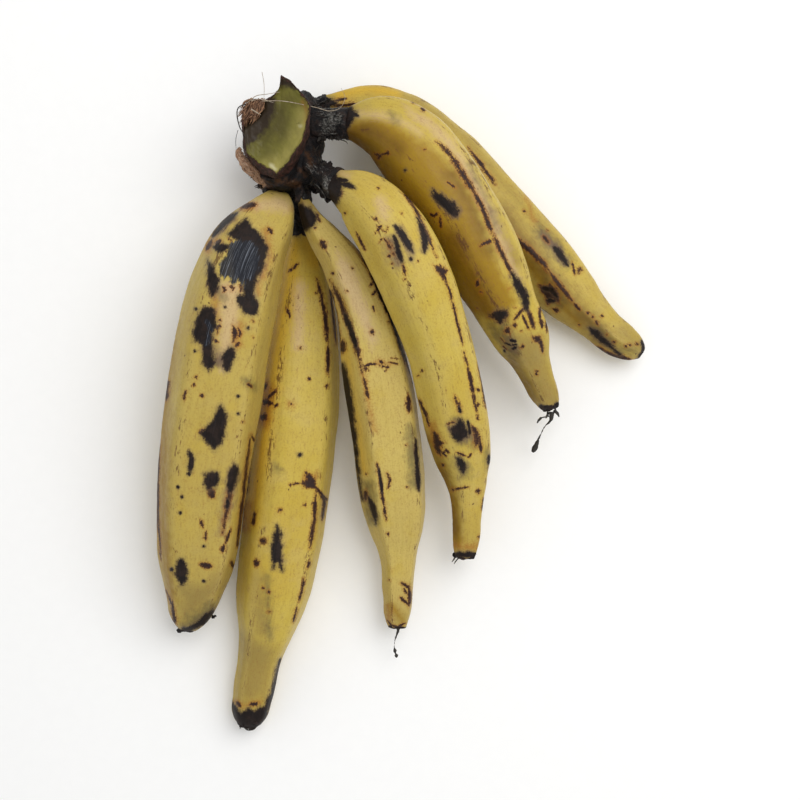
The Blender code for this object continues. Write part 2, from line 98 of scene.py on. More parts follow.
# Millimetres: centre line from the crown to the blossom end; girth as (share of the way, width);
# neck is the share where the black stalk ends; cap is the black length at the blossom end;
# crisp is how sharp the ridges are, flat how flat the sides between them, rounded the ridges worn round;
# dull is how dull the whole peel is, from -1 to 1;
# fuller is (share, how far the skin bulges on the one side, and on the other).
FINGERS = {
    1: Finger(
        course=((-58, 98.5, 17), (-56, 93, 21.5), (-55.5, 87.5, 28.5), (-58, 79.5, 37), (-65.5, 65.5, 43.5),
                (-74.5, 37, 44.5), (-82, 0, 40), (-89, -44.5, 31), (-91.5, -76.5, 23), (-97.5, -104.5, 14)),
        girth=((0, 10.5), (0.05, 12.5), (0.09, 20), (0.13, 27), (0.17, 31.5), (0.21, 36), (0.27, 40),
               (0.36, 42.5), (0.5, 44), (0.62, 43), (0.72, 41.5), (0.8, 38.5), (0.865, 32.5), (0.91, 26),
               (0.945, 21), (0.98, 16.5), (1, 9)),
        neck=0.06, ridge_turn=62, depth=0.95, cap=1.8, paler=0.6, crisp=7, flat=0.9,
        rounded=(), dull=-0.3,
        fuller=((0, 0, 0), (0.1, 0, 0.5), (0.158, 0, 1.6), (0.195, 0, 2.1), (0.235, 0, 1.5), (0.31, 0, 1.3),
                (0.38, 0, 0.9), (0.45, 0, 0.4), (0.6, 0.4, 0.1), (0.74, 0.4, -0.05), (0.8, 0.4, 0.7),
                (0.835, 0.5, 1.6), (0.872, 0.9, 2.0), (0.91, 1.4, 1.8), (0.947, 1.7, 1.3), (0.985, 0.5, 0.6),
                (1, 0.4, 0.4)),
    ),
    2: Finger(
        course=((-46, 98, 13), (-45.5, 85, 13.5), (-45, 73, 14), (-43.8, 57, 15), (-44.5, 23, 16.2),
                (-48.5, -22.5, 17.2), (-54, -66, 16.3), (-59.5, -100, 14.5), (-64.5, -119, 11.5),
                (-68, -137.5, 9.5), (-70.5, -150.5, 9)),
        girth=((0, 10.5), (0.07, 11.5), (0.1, 13.5), (0.13, 18.5), (0.17, 24), (0.22, 29.5), (0.3, 35.5),
               (0.39, 38.5), (0.48, 40), (0.57, 38.5), (0.66, 37.5), (0.755, 33.5), (0.83, 24), (0.875, 19),
               (0.945, 17), (0.975, 14.5), (1, 7)),
        neck=0.085, ridge_turn=135, depth=0.96, cap=2.4, paler=0.3, crisp=9, flat=0.9,
        rounded=(63,), dull=-1.0,
        fuller=((0, 0, 0), (0.2, 0.1, 0.1), (0.3, 0.4, 0.3), (0.383, 0.9, 0.3), (0.421, 1.0, 0.3),
                (0.47, 0.6, 0.4), (0.53, 0.8, 0.5), (0.647, 0.9, 0.5), (0.7, 0.4, 0.7), (0.76, 0.2, 1.4),
                (0.797, 0.4, 1.8), (0.835, 0.6, 1.1), (0.872, 1.2, 1.0), (0.91, 1.5, 1.0), (0.947, 1.4, 1.0),
                (0.985, 1.7, 1.4), (1, 1.4, 1.2)),
    ),
    3: Finger(
        course=((-44.5, 99, 32), (-41.2, 89, 36), (-38.8, 81.5, 38.5), (-33, 72, 41), (-25, 60.5, 43),
                (-17.3, 44, 44), (-9.7, 9, 38), (-4.5, -27, 30), (-1.8, -59, 20), (-0.9, -86.5, 15),
                (-0.9, -104, 13)),
        girth=((0, 10), (0.08, 11), (0.135, 15.5), (0.2, 19), (0.29, 23), (0.37, 27), (0.46, 30.5),
               (0.55, 30.5), (0.69, 29.5), (0.745, 27.5), (0.79, 23), (0.835, 17.5), (0.88, 15), (0.92, 13.5),
               (0.965, 11.5), (1, 6)),
        neck=0.05, ridge_turn=65, depth=0.97, cap=0.2, paler=0.9, crisp=12, flat=0.9,
        rounded=(), dull=-1.0,
        fuller=((0, -3.9, 0), (0.055, -3.9, 0), (0.08, -1.9, 0), (0.105, -1.2, 0), (0.16, -0.3, 0.1),
                (0.22, 0.4, 0.3), (0.45, 1.0, 0.8), (0.534, 1.4, 0.8), (0.6, 1.35, 0.7), (0.684, 1.35, 1.1),
                (0.722, 1.4, 1.0), (0.76, 1.8, 0.9), (0.797, 2.1, 0.9), (0.835, 1.8, 0.5), (0.872, 1.3, 0.2),
                (0.91, 0.9, 0.8), (0.947, 0.9, 0.8), (0.985, 1.1, 1.7), (1, 1.3, 1.7)),
    ),
    4: Finger(
        course=((-44, 109.5, 37), (-35, 99.5, 44), (-28, 93.5, 50), (-17.2, 88.5, 57.5), (-6.8, 77.5, 63),
                (1, 65, 65), (9, 47.5, 63), (15, 31, 57), (23.3, 0.5, 44), (28.3, -26, 32.5),
                (30.2, -40.5, 26.5), (30, -54, 22), (29.5, -71.5, 18)),
        girth=((0, 11), (0.06, 11), (0.115, 13.5), (0.175, 22), (0.25, 29.5), (0.32, 33), (0.4, 33),
               (0.49, 30.5), (0.57, 28.5), (0.65, 28.5), (0.735, 27), (0.785, 23.5), (0.83, 17),
               (0.865, 14.5), (0.92, 13), (0.98, 10.5), (1, 8.5)),
        neck=0.115, ridge_turn=145, depth=0.93, cap=1.3, paler=0.4, crisp=9, flat=0.85,
        rounded=(73,), dull=-1.0,
        fuller=((0, 0, 0), (0.12, 0.8, -0.6), (0.158, -0.4, 1.5), (0.2, 0, 1.7), (0.235, 0.1, 1.7),
                (0.3, 0.3, 1.0), (0.4, 0.5, 0.6), (0.496, 0.6, 0.8), (0.534, 1.2, 1.0), (0.65, 1.4, 1.3),
                (0.76, 1.35, 1.35), (0.797, 1.8, 1.4), (0.835, 2.1, 1.7), (0.872, 1.3, 0.9), (0.91, 0.9, 0.1),
                (0.947, 1.5, 0), (0.985, 1.2, 0.4), (1, 1, 0.4)),
    ),
    5: Finger(
        course=((-42, 122.5, 34.5), (-31, 122, 38), (-22, 121.5, 41.5), (-8.3, 120, 46), (5.7, 110.5, 48.5),
                (15.7, 97.7, 48.5), (25, 84, 48), (41.5, 54, 43.5), (51.8, 32.5, 36.5), (61.5, 11.7, 27),
                (68.2, -4, 21)),
        girth=((0, 17), (0.055, 13), (0.105, 15), (0.135, 20), (0.185, 28.5), (0.275, 37.5), (0.36, 39.5),
               (0.45, 38.5), (0.55, 37.5), (0.64, 34), (0.705, 29.5), (0.77, 27), (0.82, 23.5), (0.86, 18),
               (0.91, 15), (0.96, 12), (1, 6)),
        neck=0.105, ridge_turn=140, depth=0.92, cap=2.6, paler=0.35, crisp=14, flat=0.92,
        rounded=(68,), dull=-0.7,
        fuller=((0, 0, 0), (0.12, 0, -0.3), (0.158, 0, 0.8), (0.2, 0, -0.4), (0.25, 0, -0.4), (0.35, 0, 0),
                (0.6, 0.2, 0.6), (0.684, 0.3, 1.0), (0.722, 0.5, 1.2), (0.76, 1.2, 0.6), (0.797, 1.9, 0.5),
                (0.835, 1.4, 0.2), (0.872, 1.0, 0.5), (0.91, 0.6, 0.6), (0.947, 0.9, 0.9), (0.985, 1.7, 1.0),
                (1, 1.7, 1.0)),
    ),
    6: Finger(
        course=((-43, 131.5, 19), (-31, 134.5, 18), (-18.2, 134.5, 16.5), (-2.3, 126.5, 14.6),
                (18.2, 110, 14), (41, 88, 14), (62, 67, 13), (79.5, 46, 12), (94, 33, 11), (111, 21.5, 10)),
        girth=((0, 8.5), (0.06, 9.5), (0.125, 18.5), (0.165, 26.5), (0.215, 32), (0.345, 35), (0.51, 35.5),
               (0.66, 31.5), (0.79, 27.5), (0.85, 23), (0.9, 18.5), (0.955, 15.5), (0.985, 11), (1, 6)),
        neck=0.045, ridge_turn=80, depth=0.9, cap=0.8, paler=0.5, crisp=12, flat=0.9,
        rounded=(152,), dull=-0.55,
        fuller=((0, 0, 0), (0.07, 0.3, 0), (0.12, -0.25, 0), (0.2, -0.25, 0), (0.235, 0, 0), (0.3, 0.4, 0),
                (0.383, 1.1, 0), (0.43, 0.4, 0), (0.5, -0.4, 0), (0.61, -0.4, 0), (0.68, 0.1, 0),
                (0.76, 0.5, 0), (0.797, 0.6, -0.6), (0.835, 0, -1.2), (0.872, 0, -0.9), (0.91, 0.1, 0.5),
                (0.985, 0.3, 0.5), (1, 0.4, 0.5)),
    ),
}

# The finger stalks: height of their knobs as a share, and how far their skin runs under the peel.
PEDICEL_KNOBS = 0.045
PEDICEL_OVER = 2.2
# The stalks that look thinner than their solids halfway: finger, share of the width.
THINNED = {4: 0.76, 3: 0.94}

# Dry strands on the stalks: finger, how many, and the part of the stalk they lie on.
STRANDS = ((4, 12, 0.3, 1.05), (5, 18, 0.35, 1.05), (6, 8, 0.3, 1.0))

# The pad that the finger stalks root in: its middle line, its widths, how much deeper than wide it is,
# and the height of its lumps as a share.
CUSHION_COURSE = (
    (-44, 137.5, 23), (-42, 129, 24), (-41, 118, 24.5), (-41.5, 108, 24.5), (-44.5, 100.5, 24),
    (-51, 97.5, 23.5), (-58, 99.5, 24), (-63.5, 104.5, 26), (-67.5, 109, 29), (-68.6, 112, 30),
)
CUSHION_WIDTH = ((0, 5), (0.06, 10), (0.25, 12.5), (0.5, 13), (0.72, 11.5), (0.88, 8), (1, 3))
CUSHION_DEPTH = 3.0
CUSHION_LUMPS = 0.05

# The outline of the cut face from its spike clockwise.
FACE_OUTLINE = (
    (-51.4, 140.5), (-47.7, 138), (-44.3, 134.5), (-41.2, 131), (-39.1, 127.5), (-39.5, 119.5),
    (-40.8, 115), (-43.4, 110), (-46, 106), (-49.5, 102), (-53, 98.5), (-58.5, 100.5), (-63, 103.5),
    (-66.8, 107.5), (-68, 112), (-68.5, 119), (-68.3, 126), (-64, 130), (-57, 130.5), (-52.8, 134.5),
)
# The cut face: its middle, its height there, how it slopes each way, and how hollow it is.
FACE_MIDDLE = np.array((-52.5, 116.5))
FACE_HEIGHT = 51.0
FACE_SLOPE = np.array((0.26, 0.08))
FACE_HOLLOW = 2.0
# The outlines of the wall below the face: drop, size, roundness, shift.
STALK_LEVELS = (
    (0, 1.0, 0.0, 0, 0), (2.5, 1.03, 0.12, 0, 0), (9, 1.05, 0.45, -1.2, -0.5), (20, 1, 0.75, -2.2, -1),
    (34, 0.9, 0.9, -2.5, 0),
)
# The oval that the wall rounds off to, and the size and the shift of its foot.
STALK_RADII = (14.5, 18.5)
FOOT_SIZE = 0.66
FOOT_SHIFT = (-2.5, 1.0)
# How deep the torn, fibrous part of the cut face lies, in millimetres.
TORN_DEPTH = 4.5

# Dry flower threads that stay on two tips: centre line, and width as (share of the way, width).
STYLES = {
    3: (
        ((-0.8, -103.6, 12.9), (-1.0, -106, 12.4), (-2.0, -109, 12), (-2.6, -112.5, 10.5), (-2.2, -116.2, 8.5),
         (-1.4, -118.6, 7.6)),
        ((0, 2.4), (0.12, 1.5), (0.3, 0.8), (0.7, 0.75), (0.8, 1.7), (0.87, 0.9), (0.95, 1.7), (1, 0.8)),
    ),
    5: (
        ((68.8, -5.6, 20.2), (68.4, -8.8, 19.5), (65.8, -12.2, 17.5), (63.6, -17, 14.5), (62, -21.5, 12),
         (60.9, -23.8, 11)),
        ((0, 2.8), (0.2, 1.2), (0.7, 1.2), (0.82, 2.2), (0.92, 2.8), (1, 1.4)),
    ),
}

# Softness of each kind of mark, in pixels of the photograph; a stroke is at most as soft as it is wide.
# deep, shade: painted shade (deep partly riper gold); gold: partly painted light in creases; pale: partly
# painted highlights.
MARK_SOFTNESS = {
    "black": 4.0, "brown": 3.0, "bruise": 7.0, "stain": 6.0, "silver": 5.0, "pale": 8.0, "freckles": 7.0,
    "shade": 12.0, "deep": 7.0, "dull": 14.0, "violet": 6.0, "gold": 10.0,
}
# Kinds with a firm core; outside it they fade over this many pixels.
HALOS = {"black": 5.5, "brown": 3.2, "rim": 2.0}
# A stroke with a firm core narrows to this share of its width, within one part in so many of its length.
STROKE_END, STROKE_TAPER = 0.35, 6
# How far the edge of a mark wanders, in pixels: at least, more for each pixel of width, and at most.
EDGE_WANDER = (0.25, 0.25, 1.7)

# Marks on each peel, placed by pixel: kind, half widths along a stroke (or "patch"), then the points of
# each stroke or outline, with / between one and the next.
PEEL_MARKS = {
    1: """
    brown 2-3-2 241,208 248,206 256,204
    stain 5 244,207 256,206 / 232,218 218,232 208,250 / 266,238 268,256 262,276 / 226,290 238,290 / 265,232
      268,245
    black 2.4-3-2 236,214 225,222 213,236
    brown 1.6 212,240 206,250 / 268,228 272,233 / 186,391 184,399
    black patch 229,234 236,227 246,220 251,228 256,232 262,238 266,246 266,256 262,268 257,276 254,284 252,294
      257,305 256,314 251,315 245,312 239,302 239,296 245,296 245,280 236,276 234,252 240,240 232,237 /
      207.6,260 212,266 218,280 217,287 212,295 209,288 208,276 / 201,312 206,308 213,309 215,318 215,326
      211,333 211,346 213,356 214,364 208,370 203,362 203,346 198,340 195,341 194,330 198,319 / 221,406 226,418
      224,430 221,443 214,449 208,442 201,434 209,426 215,417 / 205,475 212,473 218,474 219,480 215,485 208,489
      205,483
    stain 4 262,238 262,276 / 255,278 259,293
    black 3.4-3-1.6 214,247 221,248 229,246
    brown 2 215,243 222,241 / 168,380 166,400 / 231,561 233,567
    stain 6 215,288 217,304 214,318 / 240,325 238,344
    brown 1 222,287 226,290 223,292 / 229,286 234,288 232,291 / 238,285 242,287 240,291 / 215,330 219,326
      217,335 / 214,340 218,342 / 248,384 252,387
    black 2.2-1.6 238,298 243,306
    silver patch 231,242 240,240 250,242 257,247 260,258 257,268 252,284 247,277 243,286 238,279 233,286 228,277
      224,281 218,271 221,262 227,252
    violet 3 253,296 254,308
    brown 2.2 247,292 250,300
    deep patch 165,300 158,420 158,540 168,600 176,600 168,520 168,420 178,320
    bruise 4 217,288 222,298 / 247,381 254,386 / 212,476 212,492
    brown 1.4 228,238 232,242 / 253,321 / 231,528 226,543 / 206,531 205,540
    pale patch 218,280 243,284 241,298 238,318 232,345 226,372 219,372 220,330 / 250,202 262,196 276,195 288,199
      294,206 288,213 268,211 254,210
    freckles patch 218,280 244,284 240,300 226,300 218,296 / 199,514 213,516 212,548 198,546
    black 1.3 225,307 / 196,309 / 238,396 / 238,414 / 189,474 / 182,497 / 180,513 / 204,546 / 204,581
    black 1.5 240,298
    black 1.4 248,328 / 172,569
    black 1.2 195,351 / 228,500 227,508 / 178,487
    brown 1.2 220,320 / 220,326 / 253,337 / 243,422 / 252,436 254,441
    violet 5 205,316 206,350
    violet 4 214,350 222,362
    silver 2.4 208,322 211,331
    silver 2 209,334 207,344
    bruise 5 214,362 224,362
    brown 1.6-2.4-1 233,326 235,333 233,342
    black 4-4.6-3 231,350 228,358 227,370
    brown 0.9 238,328 241,334 238,338 / 240,342 236,346
    freckles 5 243,340 / 162,498 171,500 / 178,547 186,553 / 191,579 193,590 / 205,500 200,530 / 176,508 186,520
      / 196,410 204,440
    freckles 4 195,379 188,394 / 189,527 194,530 / 191,487 197,490 / 206,556 214,600 / 236,420 244,450 / 232,492
      228,530
    brown 1.3 196,377 / 194,385 / 202,396
    brown 1.5 199,433 205,429 / 201,520 203,528
    black 2.4 189,452 192,459 190,470
    brown 3 210,488 213,498
    black 3-3.8-2.6 235,466 233,476 230,490
    brown 2.6-2.4-2-1.4 230,488 228,502 226,516 222,534
    violet 6-6-4 233,474 227,506 222,532
    brown 1.8 224,546 222,552 / 172,600 175,625
    black 5-5-3 181,561 181,573 182,584
    brown 2.6 201,564 211,567
    black 2-2.2-2.8-2.6 178,632 190,629 203,621 213,611
    bruise 4-5-5 186,626 200,616 212,606
    dull patch 176,585 205,580 232,560 226,590 206,612 182,622
    brown 1.2-1.9-1.4 251,434 247,462 244,490 240,520 237,548
    bruise 7 193,620 210,610
    stain 3 291,209
    dull 5 158,440 158,520 168,590
    brown 0.9-1.3-0.9 160,440 158,480 158,520 161,560
    brown 1-1.4 166,590 172,606
    """,
    2: """
    black 7 297,212 296,232
    gold 5 307,244 314,262
    gold 7-8-8-8-6 293,246 284,300 272,362 262,432 252,520
    brown 1.3 288,272 294,268 298,263 / 330,290 334,320 336,345 / 316,293 / 263,588 / 269,592
    pale 6 299,287 298,345
    freckles 6 299,290 298,346 / 255,560 275,590
    brown 1.6-2-2.2-2.4 317,278 322,300 325,315 328,345
    brown 1.8 328,345 328,375 / 268,398 276,390 / 269,612 / 250,704 258,704
    brown 2 327,386
    brown 1.4 287,308 290,318 / 309,379 / 274,407 278,404
    stain 3 288,404 / 293,406 / 236,702 246,706 260,702
    brown 1.2 291,404 / 290,485 / 305,505
    stain 9 266,388 266,404 264,420
    brown 3.4 264,386 / 257,563
    brown 4.5-3 263,401 272,404
    brown 3.6 264,417
    freckles 8 268,392 266,418
    brown 1.6-2-1.4 249,462 246,490 243,505 241,530
    stain 6 247,506 244,528
    brown 1.6 255,512 253,525 / 310,562 307,568 / 325,500 322,520 / 236,702 241,707
    brown patch 300,483 306,479 306,472 312,474 316,480 316,489 305,487
    brown 0.9 292,484 300,483 / 326,496 322,506
    brown 1 316,488 322,494 328,501
    stain 5 306,478 316,476
    brown 2.4 321,496 325,501 / 280,510
    brown 1.8-2-1.6 316,490 314,520 310,548
    brown 1.5 304,578 302,590 299,602 / 297,608 293,622 / 300,348
    black patch 277,526 280,535 281,555 282,570 277,560 273,568 273,545 275,533 / 232,703 236,708 241,713
      246,712 249,709 254,712 260,708 268,706 266,730 234,730
    brown 3.2 263,541
    bruise 4 277,468
    black 1.8 300,455
    bruise 2 268,576 269,640
    violet 3 278,540 281,560
    dull 7 258,580 262,630
    freckles 3 327,300 329,372 / 322,500 310,560 298,612
    freckles 4 246,470 242,530
    black 0.8-1.5-2.2-3.2 280,660 277,676 273,694 264,714
    dull patch 238,632 262,640 278,650 268,696 250,704 236,700
    """,
    3: """
    black patch 294,206 303,205 311,209 316,217 313,226 305,231 296,228
    brown 1.4 317,214 320,222 / 315,228 / 389,322
    brown 3 321,241 325,248 / 343,340 343,352
    pale 2 324,245
    brown 1-2.4-3-3-2 330,280 335,290 341,303 345,315 350,328 354,340 358,352 362,372
    black 1.6-2 345,315 350,328 356,346
    brown 1.5 331,290 334,305 337,320 341,345
    stain 3.4 363,375 367,395 372,420 374,430
    brown 1.6 364,378 368,398
    brown 2.6 366,369
    stain 2.6 377,362 392,364 / 392,571
    brown 0.8 362,367 370,364 378,364 / 388,362 399,364 / 390,358 399,359
    brown 1.3 379,361 384,363 / 352,268 / 347,291 / 333,273 / 377,463 380,480 383,500 386,520 / 387,473 390,480
      388,488 / 400,597 408,604 / 404,588 407,594
    brown 0.9 380,366 388,367 386,371 / 387,620 391,625 398,627 405,623
    brown 2.4 372,332 / 408,396 409,412
    brown 1.1 370,286 374,282 / 372,295 377,290 / 373,306 375,312
    brown 1.8-2.2-2.2-1.8-1.4 357,247 375,280 392,320 406,360 424,410
    black 0.8-1.2-0.8 371,274 390,316 404,356
    black 3-3.4-2.2-1.4-1 342,365 347,390 352,425 356,455 362,500
    black 0.8 379,468 382,492
    bruise 6 369,486 371,520
    gold 1 346,350 352,400 364,470
    shade 5 298,196 306,208
    deep 2 392,606 402,620
    pale patch 336,250 352,262 366,300 378,340 372,350 352,310 336,278
    freckles 5 348,280 356,330 366,380 / 398,420 406,470 / 388,600 392,620
    freckles 4 378,354 392,364 / 385,590 388,610 / 401,424 403,456
    black 1.4-2.2-1 369,498 373,509 376,524
    bruise 4 369,496 375,520
    brown 2 365,490 366,500 / 402,583 409,588 410,600 409,605
    black 0.8-1.5-1.8 416,440 417,465 419,490
    bruise 5-6-5 411,430 412,455 414,484
    bruise 3 411,440 414,480
    brown 1.2 406,445 / 407,487 / 366,474 / 388,534 / 389,580
    stain 3 387,606 389,618
    """,
    4: """
    black patch 322,170 331,168 336,175 341,184 340,192 337,202 332,208 322,200 / 451,429 457,424 461,419
      463,425 467,429 468,437 463,438 460,441 454,438
    black 1.2-1.8-1 337,178 342,180 347,181
    black 1.4-2-1 341,184 348,185 355,188
    pale 4 337,172 346,175
    brown 2 338,188 341,196
    pale 6 380,201 384,216
    brown 0.8 375,234 378,230 380,226.5 382,226
    brown 0.9 379,243 381,239.5 384,239 388,243 / 405,279 / 388,256.5 391,255
    brown 2.3 390,247
    brown 0.7 383,230 386,232 388,227
    brown 1.2 386,242 390,247 / 478,402 478,407 / 432,434 436,442 441,452 446,456
    violet 7 388,242 398,264
    black 0.9-1.5-2.3-1.8 394,236 397,245 399,253 402,262
    brown 1.2-1.4-1 403,264 404,270 405,275
    brown 1.6 393,254
    brown 1.1 392,264 / 455,489 468,487
    black 0.9-2.6-2.6-1.2 395,226 401,233 407,243 413,252
    violet 4 399,232 411,252
    black 1.4 411,259 / 459,408 461,413 / 489,456 489,464
    violet 3 411,259 / 421,228 425,248
    brown 1 418,261 / 470,372 478,418 / 448,424 455,422 / 456,452 466,456 / 472,453 468,458
    black 1-2-2.5-1.2 417,218 423,230 425,241 424.5,252
    brown 1-1.6-1.4-1.2 400,188 412,203 425,230 437,258
    brown patch 433,265 440,266 448,270 445,275 443,280 438,273 / 432,430 437,433 440,440 445,443 441,447
      442,456 436,453 433,444
    brown 0.9-1.1 440,265 446,280 450,292 458,325 463,345
    brown 1.4-1.1 464,352 468,368 472,390 478,420
    brown 1.3 478,362 481,375 486,408 / 402,213 / 422,371 / 418,376 / 345,213 / 376,219 / 378,188 / 356,232
      365,250 / 441,455 446,450 449,453 / 443,465 / 479,537
    brown 1.4 477,389 480,391 / 480,440 481,452 / 484,498 482,510
    brown 1.2-2.4 455,395 458,405 461,413
    stain 6 432,425 439,450
    stain 3 433,436 441,455
    freckles 7 434,440 442,455
    violet 6 454,428 466,436
    black 1 468,421 470,434
    bruise 6 457,424 464,440 / 459,460 464,472
    bruise 8 460,426 464,438
    black 2.4-3.4-2 458,459 462,465 463,471
    bruise 5 472,432 474,444
    brown 1.6-3-3-2 472,425 476,432 478,440 475,447
    freckles 6 474,428 478,444
    bruise 4 488,452 489,466
    brown 1.8 419,400 425,412 429,426 / 453,490 / 478,489 478,493
    deep 6 440,470 450,500 456,540
    freckles 4 425,400 436,440 / 478,385 482,430
    black 2.2 455,554 465,555 476,554
    stain 4 456,546 476,547
    shade 8 430,440 446,482 453,530
    """,
    5: """
    black patch 336,107 350,108 355,112 353,119 347,128 343,138 334,140 / 433,191 438,193 443,198 449,199
      454,204 458,211 457,217 450,214 444,208 439,203 435,198 / 491,315 498,311 507,310 505,316 500,323 496,319
    black 1.6-1 352,113 358,116
    deep patch 352,121 372,119 390,122 408,132 424,142 440,154 456,172 472,198 484,232 500,272 516,300 508,322
      490,318 460,312 420,256 390,208 366,170 346,142 342,132
    shade 15-17-15-12-7 352,138 372,170 400,218 434,272 470,318
    pale 3 360,114 384,116 404,122 420,132
    shade 8 364,130 382,136 398,148 / 512,365 530,398
    shade 8-8-6 452,236 472,274 494,316
    shade 5 452,174 474,212 490,250
    shade 3 492,214 504,238 515,262
    bruise 2 470,165 486,200 496,230
    pale patch 404,104 430,118 452,138 478,178 498,220 513,258 526,296 521,292 500,250 486,216 470,182 452,154
      430,132 408,116
    freckles 4 446,150 476,196 500,250 / 493,335 496,345 / 530,350 540,380
    freckles 5 500,300 540,330
    freckles 6 506,322 536,350
    brown 1-1.4-1 540,318 541,326
    brown 0.9 546,322 547,332 / 535,371 538,371 536,374 538,375
    brown 1 447,182 456,188 / 380,155 388,153 / 453,128 458,133 / 521,331
    dull 6 512,330 530,372
    brown 1.8 375,154 380,156 378,159
    brown 1.6 388,153 / 524,308 514,320
    bruise 3 392,116 396,120
    brown 1.3 411,101 418,103 / 421,108 425,111 / 478,280 477,286 / 521,347 524,346
    black 1.3 405,170
    brown 1.2 425,149 / 522,315 529,329 / 430,214 434,216 438,213 / 440,216 441,228 / 481,292 / 477,308 /
      515,308 / 540,307 540,320
    brown 1-2-3 436,141 443,147 452,157 458,165
    brown 1.2-2.5-2.8-2.1 449,152 458,166 467,181 474,192
    brown 1.6-2-2 474,192 481,205 487,220 492,233
    brown 1.5-2-1.8 480,200 486,218 492,233
    brown 1.4-2 493,234 503,256 512,276
    black 2-3-3.3-2 512,274 519,287 525,297 527,309
    stain 4 456,162 480,200 500,250
    brown 2 528,310 534,328
    violet 5 446,203 455,214
    freckles 8 434,220 440,240
    brown 1.4 481,246 485,243 489,242 492,240 / 542,320 542,328
    stain 2.4 481,292
    stain 3.4 510,288
    brown patch 488,317 492,313 498,311 507,311 505,317 500,324 495,320 / 532,337 538,335 541,336 541,341
      536,342
    brown 2.2 515,325
    brown 3 507,331
    bruise 5 506,343 511,350 / 494,326 500,338
    violet 3 505,340 513,348
    bruise 7 502,328 512,350
    brown 0.8 501,338 505,343
    black 0.8 504,342.5 508,344 511,345.5 / 512,345 517,344.5
    black 0.9 510,340 513,341 516,341.5 / 504,350 505,351.5
    brown 0.7 503,346 507,350
    black 1 512,349 516,347
    brown 1.5 540,340 542,347 543,353
    dull patch 498,326 520,330 544,334 552,362 560,405 546,410 530,386 514,364
    black 2.4 541,406 548,412 556,408
    """,
    6: """
    brown 1.6 333,106 344,105 356,104 / 543,236 549,243 / 595,320 598,325
    brown 1.4 334,101 346,99 / 626,346
    black 4-2 326,103 336,103
    brown 1-2-2-1.4 468,148 480,163 491,178 495,184
    stain 4 527,198 533,220
    deep 3 520,252 545,286 580,324
    dull 8 545,300 575,332 600,346
    dull 5 625,332 634,342 / 372,90 420,102 462,134 506,186 556,246
    gold 3 340,94 366,89 396,93
    freckles 5 515,195 535,222 / 575,266 577,276
    freckles 4 560,270 585,300
    brown 1.3 524,211 / 548,230 / 575,304 580,310 / 614,342 / 593,317 / 602,316 / 630,345 / 637,344
    bruise 6-7-6 542,232 554,246 566,262
    violet 5 546,236 564,260
    bruise 4 538,232 548,244 558,256
    dull patch 522,252 548,268 572,300 600,328 612,346 580,338 548,308 532,278
    black 1.6-2.6-1.6 554,247 561,256 568,266
    brown 1.4-2.4-2.6-2-1.8 513,231 520,243 530,250 543,263 550,272
    brown 1.8 550,272 562,288 572,300
    brown patch 539,284 545,287 550,283 556,288 559,294 560,303 552,301 548,305 545,298 541,292
    black 1.8 543,288 551,290 557,297
    black 1.5 548,300 555,301
    bruise 8 548,290 556,300
    brown 2 553,309 558,311
    brown 3.2 580,270
    brown 1.2 572,262 575,275 / 607,335 / 588,313 / 579,325
    black 2-2.6-2-1.6-1.2 590,328 597,335 604,341 611,347 620,354
    bruise 6 596,330 608,342
    black 1.6 642,341 644,348 643,354 639,357
    brown 2.4 630,359 615,357 605,352 595,346
    bruise 3 622,350 636,350
    shade 8 500,210 540,262 585,316 610,345
    """,
}

# Marks on the crown, by pixel in the same way.
# On the cut face, deep is partly painted shade in its hollow, pale partly painted light on its lower right;
# highlight is painted.
CROWN_SOFTNESS = {
    "fibre": 4.0, "ochre": 4.0, "rim": 2.0, "pale": 12.0, "deep": 12.0, "tan": 3.0, "dark": 5.0, "glint": 2.4,
    "rust": 4.0, "crust": 6.0,
}
CROWN_MARKS = """
rim 1.2 282,77 293,84 301,92 309,102 311,110
rim 1.6-2.4-2.4-2 311,104 310,116 308,128 305,141 296,153 291,162 277,175
rim 2.6 277,175 266,170 257,166 248,158 242,151
dark patch 280,76 295,84 293,88 287,86 279,88 / 258,96 275,98 274,112 268,126 257,139 246,148 238,150 238,128
  246,112
fibre patch 238,97 258,94 262,104 258,115 250,122 243,128 238,118
deep patch 274,98 290,104 292,118 284,134 266,150 248,152 258,136 270,118
pale patch 300,112 312,108 306,140 294,154 277,176 262,166 280,158 294,138
ochre 1.6 303,102 307,112 307,122
glint 1.6 300,126
glint 2-1.2 271,165 275,169
tan patch 238,148 234,158 240,170 250,176 262,190 266,184 254,172 246,162
crust patch 324,112 344,113 343,122 334,134 322,139 318,128 / 321,177 328,175 340,186 337,196 328,194 320,186
crust 2 318,174 306,164 / 306,212 304,196
rust 4-3 307,154 312,164
rust 4 258,180 268,186 / 278,181 298,184
rust 2 300,170 306,176
crust 1.6 286,181 292,182
"""

# Ragged fringes of the stalks: height, how many, length and direction in pixels, then the edge they hang on.
FRINGES = """
43 26 4.5 0,1 318,139 326,138 336,137 344,133
44 22 4 -0.5,1 315,184 322,190 330,195 337,200
48 18 3.5 0.6,-1 316,160 323,165 330,170 335,175
38 16 4 0.3,-1 313,158 320,163 328,167 333,168
40 10 3.5 0.6,-1 312,106 320,104 330,100
30 12 4 -1,0.6 247,170 254,178 262,188
"""

# The torn flap at the lower left of the cut: its middle line, heights and widths along it.
FLAP_PIXELS = "241,147.5 239.2,150 239.2,154.5 242.8,160.8 247.5,166.5 253.5,172.5 259,178.5 263,184"
FLAP_HEIGHTS = ((0, 42), (0.3, 41), (0.6, 38.5), (1, 34))
FLAP_WIDTHS = ((0, 1.8), (0.08, 3.2), (0.3, 4.1), (0.45, 4.6), (0.65, 4.3), (0.82, 3.6), (0.94, 2.2), (1, 0.6))
FLAP_DEPTH = 0.34

